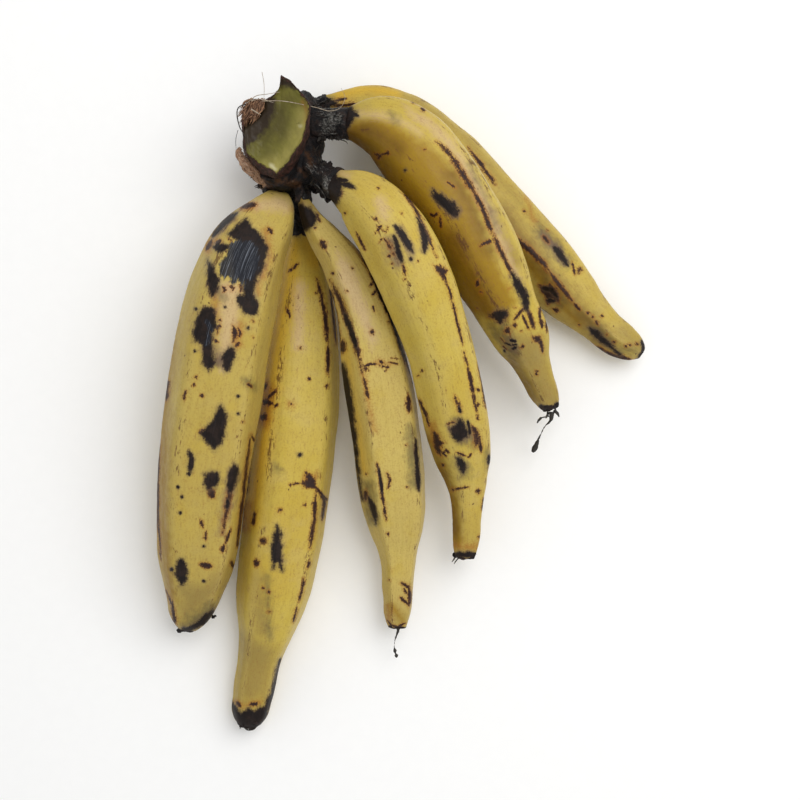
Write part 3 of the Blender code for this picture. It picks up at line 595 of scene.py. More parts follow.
# Torn fibres at the cut: columns and rows of the pixels where they start, how many pixels they run down,
# the column where the wall begins and how wide it is, and their height in millimetres with its fall there.
FIBRE_COLUMNS, FIBRE_ROWS, FIBRE_FALL = (247, 265), (98, 109), (6, 19)
FIBRE_WALL, FIBRE_WALL_WIDTH = 262, 20
FIBRE_HEIGHT, FIBRE_DROP = 49.5, 3.5

# Loose hairs at the cut: height and end height in millimetres, width in millimetres, then pixels.
PALE_HAIRS = """
58 53 0.24 262,72 264,84 264,100
56 56 0.34 247,103 256,96 268,94 280,92
56 50 0.34 262,101 282,101 300,104 318,108 330,111 340,108 345,97 341,88
55 54 0.50 251,109 261,115
57 55 0.26 251,101 260,99 274,103
"""
DARK_HAIRS = """
50 47 0.55 246,104 239,107 239,125 246,138
46 44 0.26 238,130 236,138 236,150
40 38 0.45 315,151 319,145
40 36 0.50 322,163 326,167 330,166
"""
# Frayed threads at the blossom ends, in the same way.
FRAYS = """
18 14 0.80 457,555 454,559 452,562
18 14 0.70 460,556 456,561 454,564
17 15 0.80 470,555 474,558
18 16 0.60 465,556 462,559
20 16 1.20 548,413 547,416 546,418
18 13 0.55 550,416 545,417 541,418 538,422
17 13 1.10 541,418 539,420 537,423
21 18 0.90 556,405 555,409 558,413
19 17 1.30 554,411 558,414 559,417
9 7 0.80 244,725 246,729 250,730 254,729 254,725
9 8 0.60 241,725 240,729
14 12 0.45 391,623 390,626
10 9 0.80 640,345 642,347
"""
# Crumbs of withered tissue: height and width in millimetres, then the pixel.
CRUMBS = """
11 2.6 180,630
13 2.2 185,629
16 1.5 213,617
15 1.1 215,616
46 4.0 328,168
45 2.8 323,164
44 2.6 333,171
47 2.2 330,164
32 3.4 315,190
30 2.4 311,188
34 2.2 319,190
40 3.8 324,194
38 3.0 328,199
42 2.6 320,189
44 3.6 319,184
46 3.0 322,181
46 2.6 336,178
48 2.2 340,183
42 2.6 333,196
42 2.4 316,180
38 2.4 319,140
38 2.2 325,138
40 2.0 333,136
26 2.4 306,192
30 2.2 296,190
34 2.0 300,184
38 2.0 290,184
46 2.4 315,168
47 2.0 321,171
45 2.2 327,186
12 2.0 243,724
13 2.4 256,722
17 2.2 455,555
17 2.0 474,554
"""


# Numbers that mix the cells of the grain into random values.
GRAIN_PRIMES = (73856093, 19349663, 83492791, 2654435761, 1274126177)


def tone(red, green, blue):
    """A paint colour as linear values, from the 0 to 255 values of a screen."""
    return tuple(
        share / 12.92 if share <= 0.04045 else ((share + 0.055) / 1.055) ** 2.4
        for share in (red / 255, green / 255, blue / 255)
    )


def all_round(sides):
    """Angles at even steps round a ring."""
    return np.arange(sides) * 2 * math.pi / sides


def smooth(at, stations, values):
    """Values on a smooth curve through the stations, at each place in at."""
    stations = np.asarray(stations, float)
    values = np.asarray(values, float)
    if values.ndim == 1:
        return smooth(at, stations, values[:, None])[:, 0]
    step = np.diff(stations)[:, None]
    secant = np.diff(values, axis=0) / step
    inner = (secant[:-1] * step[1:] + secant[1:] * step[:-1]) / (step[1:] + step[:-1])
    slope = np.vstack([secant[:1], inner, secant[-1:]])
    low = np.clip(np.searchsorted(stations, at, side="right") - 1, 0, len(step) - 1)
    t = ((at - stations[low]) / step[low, 0])[:, None]
    start = (1 + 2 * t) * (1 - t) ** 2 * values[low] + t * (1 - t) ** 2 * step[low] * slope[low]
    end = t * t * (3 - 2 * t) * values[low + 1] - t * t * (1 - t) * step[low] * slope[low + 1]
    return start + end


def shares_of(course):
    """The share of the way at each point of a course, and its length."""
    steps = np.linalg.norm(np.diff(np.asarray(course, float), axis=0), axis=1)
    return np.concatenate([[0.0], np.cumsum(steps)]) / steps.sum(), steps.sum()


def along(course, at):
    """Points, directions ahead, side vectors and up vectors at each share of a course."""
    shares, _ = shares_of(course)
    nudge = 1e-4
    points = smooth(at, shares, course)
    ahead = smooth(at + nudge, shares, course) - smooth(at - nudge, shares, course)
    ahead /= np.linalg.norm(ahead, axis=1)[:, None]
    side = np.cross(ahead, (0.0, 0.0, 1.0))
    side /= np.linalg.norm(side, axis=1)[:, None]
    return points, ahead, side, np.cross(side, ahead)


def sweep(course, widths, at, angles, section, depth):
    """Rings of points round a course."""
    points, _, side, up = along(course, at)
    reach = (smooth(at, *zip(*widths)) / 2)[:, None] * section
    across = (reach * np.cos(angles)[None, :])[..., None] * side[:, None, :]
    above = (reach * depth * np.sin(angles)[None, :])[..., None] * up[:, None, :]
    return points[:, None, :] + across + above


def grain(points, size, seed):
    """Soft random heights from -1 to 1 in space; size is the width of one bump."""
    place = points / size
    base = np.floor(place).astype(np.int64)
    t = place - base
    t = t * t * (3 - 2 * t)
    total = np.zeros(place.shape[:-1])
    for corner in range(8):
        step = np.array((corner & 1, corner >> 1 & 1, corner >> 2))
        cell = base + step
        mixed = seed * GRAIN_PRIMES[3]
        for axis in range(3):
            mixed = mixed ^ cell[..., axis] * GRAIN_PRIMES[axis]
        mixed = (mixed ^ mixed >> 13) * GRAIN_PRIMES[4]
        value = ((mixed ^ mixed >> 16) & 0xFFFF) / 32767.5 - 1
        total += value * np.prod(np.where(step, t, 1 - t), axis=-1)
    return total


def layered(points, size, seed, layers=3):
    """Grain with finer and finer grain on it."""
    return sum(grain(points, size / 2**k, seed + k) / 2**k for k in range(layers))


def ring_normals(rings):
    """Outward directions on rings of points."""
    onward = np.gradient(rings, axis=0)
    around = np.roll(rings, -1, axis=1) - np.roll(rings, 1, axis=1)
    normal = np.cross(onward, around)
    return normal / np.maximum(np.linalg.norm(normal, axis=-1), 1e-9)[..., None]


def domed_end(rings, height, steps=7):
    """The rings with a low dome of smaller rings added past the last."""
    last, middle = rings[-1], rings[-1].mean(axis=0)
    ahead = middle - rings[-2].mean(axis=0)
    ahead /= np.linalg.norm(ahead)
    bend = np.arange(1, steps) / steps * math.pi / 2
    extra = [middle + (last - middle) * math.cos(b) + ahead * height * math.sin(b) for b in bend]
    return np.concatenate([rings, np.array(extra)])


def with_middles(values):
    """Values on rings as one list, with the middles of the first and last ring added."""
    flat = values.reshape(-1, *values.shape[2:])
    return np.concatenate([flat, values[:1].mean(axis=1), values[-1:].mean(axis=1)])


def ring_faces(count, sides, first=0):
    """Faces of a closed skin over rings of points and its two middles."""
    ring, i = np.meshgrid(np.arange(count - 1), np.arange(sides), indexing="ij")
    a = (ring * sides + i).ravel()
    b = (ring * sides + (i + 1) % sides).ravel()
    walls = np.stack([a, a + sides, b + sides, b], axis=1) + first
    i = np.arange(sides)
    j = (i + 1) % sides
    low, high = np.full(sides, count * sides), np.full(sides, count * sides + 1)
    start = np.stack([low, i, j], axis=1) + first
    top = (count - 1) * sides
    end = np.stack([high, top + j, top + i], axis=1) + first
    return walls.tolist() + start.tolist() + end.tolist()


def skin(rings):
    """Points and faces of a closed skin over rings of points."""
    return with_middles(rings), ring_faces(*rings.shape[:2])


def to_picture(points):
    """Pixels of the photograph where points of the drawing show."""
    scale = EYE_PIXELS / (EYE_HEIGHT - points[..., 2])
    return np.stack(
        [PICTURE_MIDDLE + points[..., 0] * scale, PICTURE_MIDDLE - points[..., 1] * scale], axis=-1
    )


def from_picture(pixels, heights):
    """Points of the drawing at the given heights that show at these pixels."""
    pixels = np.asarray(pixels, float)
    scale = (EYE_HEIGHT - np.asarray(heights, float)) / EYE_PIXELS
    return np.stack(
        [(pixels[:, 0] - PICTURE_MIDDLE) * scale, (PICTURE_MIDDLE - pixels[:, 1]) * scale, heights], axis=-1
    )


def turned_to_eye(points, normals, low=-0.3, high=0.05):
    """1 where a surface faces the eye above it, 0 where it faces away."""
    look = np.array((0.0, 0.0, EYE_HEIGHT)) - points
    look /= np.linalg.norm(look, axis=-1)[..., None]
    t = np.clip(((normals * look).sum(axis=-1) - low) / (high - low), 0, 1)
    return t * t * (3 - 2 * t)


def line_distance(places, line, closed=False):
    """Distance to a broken line and the share of the way along it, for each place."""
    corners = np.vstack([line, line[:1]]) if closed or len(line) == 1 else line
    best = np.full(len(places), np.inf)
    share = np.zeros(len(places))
    pieces = len(corners) - 1
    for k, (a, b) in enumerate(zip(corners[:-1], corners[1:])):
        run = b - a
        t = np.clip((places - a) @ run / max(run @ run, 1e-9), 0, 1)
        away = np.linalg.norm(places - a - t[:, None] * run, axis=1)
        closer = away < best
        best = np.where(closer, away, best)
        share = np.where(closer, (k + t) / pieces, share)
    return best, share


def inside(places, outline):
    """True for each place within a closed outline."""
    hit = np.zeros(len(places), bool)
    for a, b in zip(outline, np.roll(outline, -1, axis=0)):
        spans = (a[1] > places[:, 1]) != (b[1] > places[:, 1])
        cross = a[0] + (places[:, 1] - a[1]) * (b[0] - a[0]) / (b[1] - a[1] if b[1] != a[1] else 1e-9)
        hit ^= spans & (places[:, 0] < cross)
    return hit


def read_points(words):
    """Points from words such as 241,208."""
    return np.array([[float(v) for v in word.split(",")] for word in words])


def rows_of(table):
    """The words of each row of a table that isn't empty."""
    return [row.split() for row in table.splitlines() if row.strip()]


def strokes_of(marks):
    """The kind, half widths and points of each stroke in a table of marks."""
    for kind, size, strokes in re.findall(r"([a-z]+) (patch|[\d.-]+)\s([\d.,/\s]+)", marks):
        for stroke in strokes.split("/"):
            yield kind, size, read_points(stroke.split())


def mark_fields(marks, softness, pixels, wander):
    """How far inside each kind of mark every pixel lies, from -1 outside to 1 well inside."""
    fields = {kind: np.full(len(pixels), -1.0) for kind in softness}
    least, growth, most = EDGE_WANDER
    for kind, size, line in strokes_of(marks):
        soft = softness[kind]
        halo = HALOS.get(kind, soft)
        widths = [0.0] if size == "patch" else [float(v) for v in size.split("-")]
        widest = max(widths)
        if kind in HALOS and widest:
            soft = min(soft, max(0.9, widest))
            halo = min(halo, 1.0 + 1.2 * widest)
        margin = widest + 2 * halo + 2
        near = np.all((pixels > line.min(axis=0) - margin) & (pixels < line.max(axis=0) + margin), axis=1)
        places = pixels[near]
        if size == "patch":
            away, _ = line_distance(places, line, closed=True)
            reach = np.where(inside(places, line), away, -away)
        else:
            away, share = line_distance(places, line)
            reach = np.interp(share, np.linspace(0, 1, len(widths)), widths)
            if kind in HALOS and len(line) > 1:
                taper = np.clip(STROKE_TAPER * np.minimum(share, 1 - share), 0, 1)
                reach *= STROKE_END + (1 - STROKE_END) * taper
            reach = reach - away
        reach = reach + wander[near] * min(most, least + growth * (widest or soft))
        depth = reach / np.where(reach > 0, soft, halo)
        fields[kind][near] = np.maximum(fields[kind][near], np.clip(depth, -1, 1))
    return fields


def add_piece(name, points, faces, finish, slot, stands_for=(), fields=None):
    """One finished piece: its points are in millimetres of the drawing."""
    places = np.array(points, float)
    places[:, 2] = np.maximum(places[:, 2], 0.0)
    places[:, :2] -= MIDDLE
    mesh = bpy.data.meshes.new(name)
    mesh.from_pydata((places * MM).tolist(), [], faces)
    mesh.polygons.foreach_set("use_smooth", [True] * len(mesh.polygons))
    for field, values in (fields or {}).items():
        kind = "FLOAT_VECTOR" if values.ndim == 2 else "FLOAT"
        layer = mesh.attributes.new(field, kind, "POINT")
        layer.data.foreach_set("vector" if values.ndim == 2 else "value", values.astype(np.float32).ravel())
    mesh.materials.append(finish)
    mesh.update()
    piece = bpy.data.objects.new(name, mesh)
    bpy.context.scene.collection.objects.link(piece)
    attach(piece, "root")
    if stands_for:
        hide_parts(*stands_for)
    return piece


def tubes(lines, sides, seed, roughen=0.12):
    """Points and faces of many thin tubes: each line is (course, widths)."""
    step = 0.7
    points, faces, count = [], [], 0
    for k, (course, widths) in enumerate(lines):
        steps = max(8, int(shares_of(course)[1] / step))
        at = np.linspace(0, 1, steps)
        rings = sweep(course, widths, at, all_round(sides), np.ones((1, sides)), 1.0)
        middle = rings.mean(axis=1, keepdims=True)
        rings = middle + (rings - middle) * (1 + roughen * grain(rings, 0.8, seed + k))[..., None]
        points.append(with_middles(rings))
        faces += ring_faces(steps, sides, count)
        count += len(points[-1])
    return np.vstack(points), faces


def blobs(spots, seed, rings=14, sides=20):
    """Points and faces of ragged crumbs: each spot is (centre, width)."""
    cap = 0.12
    points, faces, count = [], [], 0
    polar = np.linspace(cap, math.pi - cap, rings)
    turn = all_round(sides)
    ball = np.stack([
        np.sin(polar)[:, None] * np.cos(turn), -np.sin(polar)[:, None] * np.sin(turn),
        np.cos(polar)[:, None] * np.ones(sides),
    ], axis=-1)
    for k, (centre, width) in enumerate(spots):
        lumpy = ball * (1 + 0.38 * layered(ball + 7.3 * k, 0.7, seed + k))[..., None]
        points.append(with_middles(lumpy * width / 2 + centre))
        faces += ring_faces(rings, sides, count)
        count += len(points[-1])
    return np.vstack(points), faces


class Finish:
    """A material made of procedural nodes; each call returns the socket that it adds."""

    def __init__(self, name):
        self.material = bpy.data.materials.new(name)
        self.material.use_nodes = True
        self.tree = self.material.node_tree
        self.surface = self.tree.nodes["Principled BSDF"]
        self.place = self.tree.nodes.new("ShaderNodeTexCoord").outputs["Object"]

    def put(self, socket, value):
        """Links a socket to another, or sets its own value."""
        if isinstance(value, bpy.types.NodeSocket):
            self.tree.links.new(value, socket)
        elif value is not None:
            if socket.type == "RGBA" and len(value) == 3:
                value = (*value, 1.0)
            socket.default_value = value

    def node(self, kind, inputs, **settings):
        """A new node with its settings made and its inputs filled."""
        node = self.tree.nodes.new(kind)
        for name, value in settings.items():
            setattr(node, name, value)
        for name, value in inputs.items():
            self.put(node.inputs[name], value)
        return node

    def math(self, operation, *values):
        """The outcome of one sum."""
        return self.node("ShaderNodeMath", dict(enumerate(values)), operation=operation).outputs[0]

    def times(self, a, b):
        """The product of two values."""
        return self.math("MULTIPLY", a, b)

    def plus(self, a, b):
        """The sum of two values."""
        return self.math("ADD", a, b)

    def larger(self, a, b):
        """The larger of two values."""
        return self.math("MAXIMUM", a, b)

    def field(self, name, vector=False):
        """A field kept on the points of the piece."""
        node = self.node("ShaderNodeAttribute", {}, attribute_name=name)
        return node.outputs["Vector" if vector else "Fac"]

    def stretched(self, place, scale):
        """The place with its axes scaled."""
        return self.node("ShaderNodeMapping", {"Vector": place, "Scale": scale}).outputs[0]

    def noise(self, place, scale, detail=3.0, roughness=0.55, distortion=0.0):
        """Random grain from 0 to 1."""
        inputs = {"Vector": place, "Scale": scale, "Detail": detail}
        inputs.update(Roughness=roughness, Distortion=distortion)
        return self.node("ShaderNodeTexNoise", inputs).outputs["Fac"]

    def cells(self, place, scale):
        """Distance from the nearest spot, and a random number for each spot."""
        node = self.node("ShaderNodeTexVoronoi", {"Vector": place, "Scale": scale})
        split = self.node("ShaderNodeSeparateColor", {0: node.outputs["Color"]})
        return node.outputs["Distance"], split.outputs[0]

    def step(self, value, low, high, least=0.0, most=1.0):
        """A soft step from least to most as the value goes from low to high."""
        inputs = {"Value": value, "From Min": low, "From Max": high, "To Min": least, "To Max": most}
        return self.node("ShaderNodeMapRange", inputs, interpolation_type="SMOOTHSTEP").outputs["Result"]

    def mix(self, share, first, second):
        """The first colour with a share of the second."""
        return self.node("ShaderNodeMix", {"Factor": share, 6: first, 7: second}, data_type="RGBA").outputs[2]

    def coat(self, under, tint, value, low, high, most=1.0):
        """The colour under it with a tint laid on, softly from none at low to the most at high."""
        return self.mix(self.step(value, low, high, 0.0, most), under, tint)

    def shifted(self, value, *grains):
        """The value with each grain, less its middle, added at its weight."""
        for grain_socket, weight in grains:
            value = self.math("MULTIPLY_ADD", grain_socket, weight, self.math("SUBTRACT", value, weight / 2))
        return value

    def mark(self, kind, *grains):
        """How far inside a kind of mark the surface lies, with its edge broken by each grain."""
        return self.shifted(self.field(kind), *grains)

    def marked(self, under, *rows):
        """The colour under them with a coat for each kind of mark: kind, tint, low, high, most, grains."""
        for kind, tint, low, high, most, *grains in rows:
            under = self.coat(under, tint, self.mark(kind, *grains), low, high, most)
        return under

    def warped(self, place, scale, amount):
        """The place pushed about by coarse noise, so that spots in it aren't round."""
        noise = self.node("ShaderNodeTexNoise", {"Vector": place, "Scale": scale, "Detail": 2.0})
        inputs = {0: noise.outputs["Color"], 1: (amount,) * 3, 2: place}
        return self.node("ShaderNodeVectorMath", inputs, operation="MULTIPLY_ADD").outputs[0]

    def bump(self, height, distance, strength=1.0, before=None):
        """Low relief on top of the relief before it."""
        inputs = {"Height": height, "Distance": distance, "Strength": strength, "Normal": before}
        return self.node("ShaderNodeBump", inputs).outputs[0]

    def done(self, colour, roughness, normal, **fixed):
        """The finished material; fixed values go on the shader's own sockets."""
        inputs = {"Base Color": colour, "Roughness": roughness, "Normal": normal}
        inputs.update({name.replace("_", " "): value for name, value in fixed.items()})
        for name, value in inputs.items():
            self.put(self.surface.inputs[name], value)
        return self.material


def peel_finish(name, colours):
    """Ripe peel: yellows with painted shade, painted light and painted highlights, lengthwise fibres, freckles,
    bruises, brown streaks and black scuffs.
    """
    paint = Finish(name)
    straight = paint.field("straight", vector=True)
    broad = paint.noise(paint.place, 22.0, 3.0)
    patchy = paint.noise(paint.place, 75.0, 4.0, 0.6)
    mottled = paint.noise(paint.place, 300.0, 4.0, 0.65)
    lengthwise = paint.noise(paint.stretched(straight, (0.02, 0.4, 0.4)), 1.0, 3.0, 0.5)
    edge = paint.noise(paint.place, 1300.0, 4.0, 0.75)
    torn = paint.noise(paint.stretched(straight, (0.25, 0.9, 0.9)), 1.0, 5.0, 0.8)
    striae = paint.noise(paint.stretched(straight, (0.07, 2.4, 2.4)), 1.0, 4.0, 0.75)

    colour = paint.mix(paint.step(broad, 0.35, 0.65), colours.peel_bright, colours.peel_deep)
    colour = paint.mix(paint.times(paint.field("paler"), 0.8), colour, colours.peel_pale)
    colour = paint.coat(colour, colours.peel_olive, lengthwise, 0.45, 0.75, 0.16)
    colour = paint.coat(colour, colours.peel_pale, patchy, 0.48, 0.7, 0.4)
    colour = paint.coat(colour, colours.peel_deep, patchy, 0.48, 0.3, 0.35)
    colour = paint.coat(colour, colours.peel_olive, mottled, 0.5, 0.75, 0.1)
    colour = paint.mix(paint.times(paint.field("ends"), 0.5), colour, colours.peel_end)
    dull = paint.mark("dull", (patchy, 0.8))
    colour = paint.coat(colour, colours.peel_end, dull, -1.0, 1.0, 0.85)
    crest = paint.math("POWER", paint.field("ridge"), 2.0)
    colour = paint.mix(paint.times(crest, 0.25), colour, colours.peel_pale)
    colour = paint.marked(
        colour,
        # deep: deeper golden peel, partly painted shade on the sides turned from the light
        ("deep", colours.peel_golden_and_shade, -0.9, 0.9, 0.9, (patchy, 0.7)),
        # gold: partly bright golden peel, partly painted light in the shaded creases between fingers
        ("gold", colours.peel_gold_and_painted_light, -1.0, 0.8, 0.9, (patchy, 0.8)),
        ("shade", colours.peel_shaded, -0.9, 1.1, 0.8, (patchy, 1.0)),
        ("stain", colours.stain, -0.6, 1.2, 0.7, (patchy, 1.5), (edge, 2.4)),
        # pale: partly worn tan-pink peel, partly painted highlights along ridges and on tops
        ("pale", colours.scraped_and_highlight, -0.7, 0.9, 0.6, (torn, 2.0), (edge, 1.5)),
    )

    wavy = paint.warped(paint.place, 900.0, 0.0016)
    crowd = paint.step(paint.mark("freckles", (patchy, 1.5)), -0.9, 0.9)
    distance, pick = paint.cells(wavy, 280.0)
    sparse = paint.step(paint.shifted(pick, (patchy, 0.25)), 0.93, 0.94)
    chosen = paint.larger(sparse, paint.times(crowd, paint.step(pick, 0.7, 0.74)))
    size = paint.times(pick, 0.1)
    freckle = paint.times(paint.step(distance, size, paint.plus(size, 0.06), 1.0, 0.0), chosen)
    dirt = paint.noise(paint.stretched(paint.warped(straight, 0.5, 1.6), (0.55, 0.95, 0.95)), 1.0, 3.0, 0.72)
    dirt = paint.plus(paint.shifted(dirt, (patchy, 0.4)), paint.times(crowd, 0.12))
    dirt = paint.plus(paint.times(crest, 0.07), paint.math("SUBTRACT", dirt, 0.025))
    colour = paint.coat(colour, colours.stain, dirt, 0.69, 0.81, 0.5)
    colour = paint.coat(colour, colours.brown, dirt, 0.745, 0.8, 0.85)
    colour = paint.mix(paint.times(freckle, 0.9), colour, colours.brown)

    colour = paint.marked(
        colour,
        ("bruise", colours.bruise, -0.9, 1.2, 0.75, (torn, 1.0), (mottled, 1.8)),
        ("violet", colours.violet, -0.9, 1.1, 0.7, (torn, 1.4), (mottled, 1.8)),
    )
    worn = paint.times(crest, paint.step(paint.shifted(torn, (patchy, 0.6)), 0.52, 0.62))
    colour = paint.coat(colour, colours.brown, worn, 0.35, 0.8, 0.75)
    brown = paint.mark("brown", (torn, 2.6), (edge, 2.6))
    colour = paint.coat(colour, colours.stain, brown, -1.1, 0.2, 0.55)
    colour = paint.coat(colour, colours.brown, brown, -0.15, 0.25, 0.95)
    colour = paint.coat(colour, colours.brown_dark, brown, 0.25, 0.8)
    rubbed = paint.step(paint.mark("silver", (torn, 2.4), (edge, 1.0)), -0.3, 0.3)
    black = paint.mark("black", (torn, 1.3), (edge, 1.3))
    colour = paint.coat(colour, colours.smudge, black, -1.15, 0.1, 0.65)
    colour = paint.coat(colour, colours.brown_dark, black, -0.5, 0.0, 0.7)
    scuffed = paint.step(black, -0.3, 0.25)
    lines = paint.times(paint.step(striae, 0.49, 0.66), paint.step(rubbed, 0.0, 1.0, 0.04, 1.0))
    tinted = paint.mix(paint.step(mottled, 0.42, 0.68, 0.0, 0.5), colours.scuff, colours.black_brown)
    charred = paint.mix(lines, paint.mix(rubbed, tinted, colours.black_blue), colours.silver)
    colour = paint.mix(paint.larger(scuffed, paint.times(rubbed, 0.97)), colour, charred)

    marked = paint.larger(paint.step(brown, -0.1, 0.5, 0.0, 0.7), scuffed)
    roughness = paint.plus(paint.step(mottled, 0.3, 0.7, 0.36, 0.48), paint.times(marked, 0.16))
    pores = paint.noise(paint.place, 1300.0, 3.0, 0.6)
    normal = paint.bump(pores, 0.00006, 0.6)
    normal = paint.bump(mottled, 0.0004, 0.35, normal)
    normal = paint.bump(lengthwise, 0.0006, 0.2, normal)
    relief = paint.plus(paint.times(scuffed, -0.5), paint.times(lines, 0.5))
    relief = paint.plus(relief, paint.times(paint.step(brown, -0.2, 0.5), 0.4))
    normal = paint.bump(relief, 0.0003, 0.7, normal)
    return paint.done(colour, roughness, normal, Specular_IOR_Level=0.19)


def withered_finish(name, colours):
    """Black withered tissue: grey crusty strands, and brown or tan where the marks say."""
    paint = Finish(name)
    straight = paint.field("straight", vector=True)
    lumps = paint.noise(paint.place, 260.0, 5.0, 0.65)
    crumbs = paint.noise(paint.place, 1100.0, 4.0, 0.7)
    strands = paint.noise(paint.stretched(straight, (0.3, 1.7, 1.7)), 1.0, 4.0, 0.75, 0.3)
    colour = paint.mix(paint.step(lumps, 0.45, 0.66), colours.black, colours.black_brown)
    crust = paint.step(paint.mark("crust", (strands, 3.0), (crumbs, 2.6), (lumps, 2.4)), 0.1, 1.0)
    colour = paint.mix(paint.times(crust, paint.step(crumbs, 0.4, 0.6)), colour, colours.grey)
    rust = paint.mark("rust", (crumbs, 2.6), (lumps, 2.0))
    colour = paint.coat(colour, colours.rust, rust, -0.6, 1.2, 0.6)
    tan = paint.mark("tan", (strands, 1.6), (lumps, 2.0))
    torn = paint.mix(paint.step(crumbs, 0.4, 0.6), colours.fibre, colours.tan)
    colour = paint.coat(colour, torn, tan, -0.4, 0.3)
    roughness = paint.step(crumbs, 0.3, 0.7, 0.45, 0.8)
    normal = paint.bump(crumbs, 0.0005, 0.8)
    normal = paint.bump(strands, 0.0012, 0.8, normal)
    normal = paint.bump(lumps, 0.001, 0.6, normal)
    return paint.done(colour, roughness, normal, Specular_IOR_Level=0.3)


def cut_finish(name, colours):
    """The cut stalk: moist olive-green face with painted shade and light, ochre and pale parts, painted
    highlights, dark rim, brown fibrous wall.
    """
    paint = Finish(name)
    lumps = paint.noise(paint.place, 120.0, 3.0, 0.5)
    wet = paint.noise(paint.place, 420.0, 4.0, 0.6, 0.5)
    strands = paint.noise(paint.stretched(paint.place, (900.0, 260.0, 300.0)), 1.0, 4.0, 0.65)
    crumbs = paint.noise(paint.place, 1200.0, 4.0, 0.7)
    face = paint.mix(paint.step(lumps, 0.3, 0.7, 0.0, 0.5), colours.cut_green, colours.cut_deep_and_shade)
    face = paint.marked(
        face,
        # deeper green, partly painted shade in the hollow of the face
        ("deep", colours.cut_deep_and_shade, -1.0, 1.0, 1.0, (lumps, 0.8)),
        # yellow-green, partly painted light on the lower right of the face
        ("pale", colours.cut_pale_and_painted_light, -1.0, 1.0, 0.95, (lumps, 0.6)),
        ("ochre", colours.ochre, -1.0, 1.0, 0.8, (wet, 1.2)),
        # painted highlights on the moist face
        ("glint", colours.cut_painted_highlight, -0.8, 1.0, 0.5, (wet, 1.2)),
    )
    specks = paint.step(crumbs, 0.65, 0.71, 0.0, 0.8)
    face = paint.mix(specks, face, colours.cut_shadow)
    dark = paint.mark("dark", (wet, 0.7), (strands, 0.8))
    face = paint.coat(face, colours.cut_shadow, dark, -0.9, 0.5, 0.96)
    fibre = paint.mark("fibre", (strands, 1.8), (wet, 1.0))
    woody = paint.mix(paint.step(strands, 0.42, 0.6), colours.fibre_dark, colours.fibre)
    face = paint.coat(face, woody, fibre, -0.4, 0.4)
    rim = paint.mark("rim", (crumbs, 2.2), (wet, 1.6))
    edging = paint.mix(paint.step(crumbs, 0.4, 0.65), colours.black_brown, colours.rim)
    face = paint.coat(face, edging, rim, -0.5, 0.3)
    wall = paint.mix(paint.step(strands, 0.4, 0.62), colours.black_brown, colours.rim)
    wall = paint.coat(wall, colours.grey, crumbs, 0.6, 0.75, 0.4)
    colour = paint.mix(paint.step(paint.field("face"), 0.3, 0.7), wall, face)
    dry = paint.larger(paint.step(fibre, -0.4, 0.4), paint.step(rim, -0.5, 0.3))
    dry = paint.larger(dry, paint.step(paint.field("face"), 0.3, 0.7, 1.0, 0.0))
    roughness = paint.step(dry, 0.0, 1.0, 0.42, 0.75)
    rough = paint.times(dry, crumbs)
    normal = paint.bump(wet, 0.0003, 0.5)
    normal = paint.bump(paint.times(dry, strands), 0.0006, 0.7, normal)
    normal = paint.bump(rough, 0.0006, 0.6, normal)
    return paint.done(colour, roughness, normal, Specular_IOR_Level=0.22)


def flap_finish(name, colours):
    """Dry torn skin: pinkish tan, with brown creases along it."""
    paint = Finish(name)
    straight = paint.field("straight", vector=True)
    creases = paint.noise(paint.stretched(straight, (0.25, 1.2, 1.2)), 1.0, 4.0, 0.7, 0.6)
    crumbs = paint.noise(paint.place, 1100.0, 4.0, 0.7)
    colour = paint.mix(paint.step(creases, 0.4, 0.6), colours.fibre, colours.tan)
    colour = paint.mix(paint.step(paint.shifted(creases, (crumbs, 0.8)), 0.46, 0.34), colour, colours.rim)
    colour = paint.coat(colour, colours.black_brown, crumbs, 0.6, 0.72, 0.7)
    normal = paint.bump(crumbs, 0.0005, 0.8)
    normal = paint.bump(creases, 0.0012, 0.8, normal)
    return paint.done(colour, paint.step(crumbs, 0.3, 0.7, 0.6, 0.85), normal, Specular_IOR_Level=0.25)


def thread_finish(name, dark, light):
    """Dry thread or hair: twisted strands of two colours."""
    paint = Finish(name)
    twist = paint.noise(paint.stretched(paint.place, (900.0, 400.0, 900.0)), 1.0, 4.0, 0.65, 0.8)
    crumbs = paint.noise(paint.place, 2400.0, 3.0, 0.7)
    colour = paint.mix(paint.step(twist, 0.35, 0.7), dark, light)
    normal = paint.bump(crumbs, 0.0002, 0.8)
    return paint.done(colour, paint.step(twist, 0.3, 0.7, 0.5, 0.75), normal, Specular_IOR_Level=0.35)


def floor_finish(name, colours):
    """Plain pale floor with hardly any grain."""
    paint = Finish(name)
    speck = paint.noise(paint.place, 160.0, 3.0)
    lighter = tuple(min(1.0, value * 1.01) for value in colours.floor)
    colour = paint.mix(paint.step(speck, 0.3, 0.7), tuple(colours.floor), lighter)
    return paint.done(colour, 0.85, paint.bump(speck, 0.0002, 0.2), Specular_IOR_Level=0.1)


def kept_finish(name, make, *choices):
    """The finish of that name, made at its first use."""
    return bpy.data.materials.get(name) or make(name, *choices)


def dark_thread(colours):
    """The finish of the dry dark threads."""
    return kept_finish("dry_thread", thread_finish, colours.thread_dark, colours.thread_light)


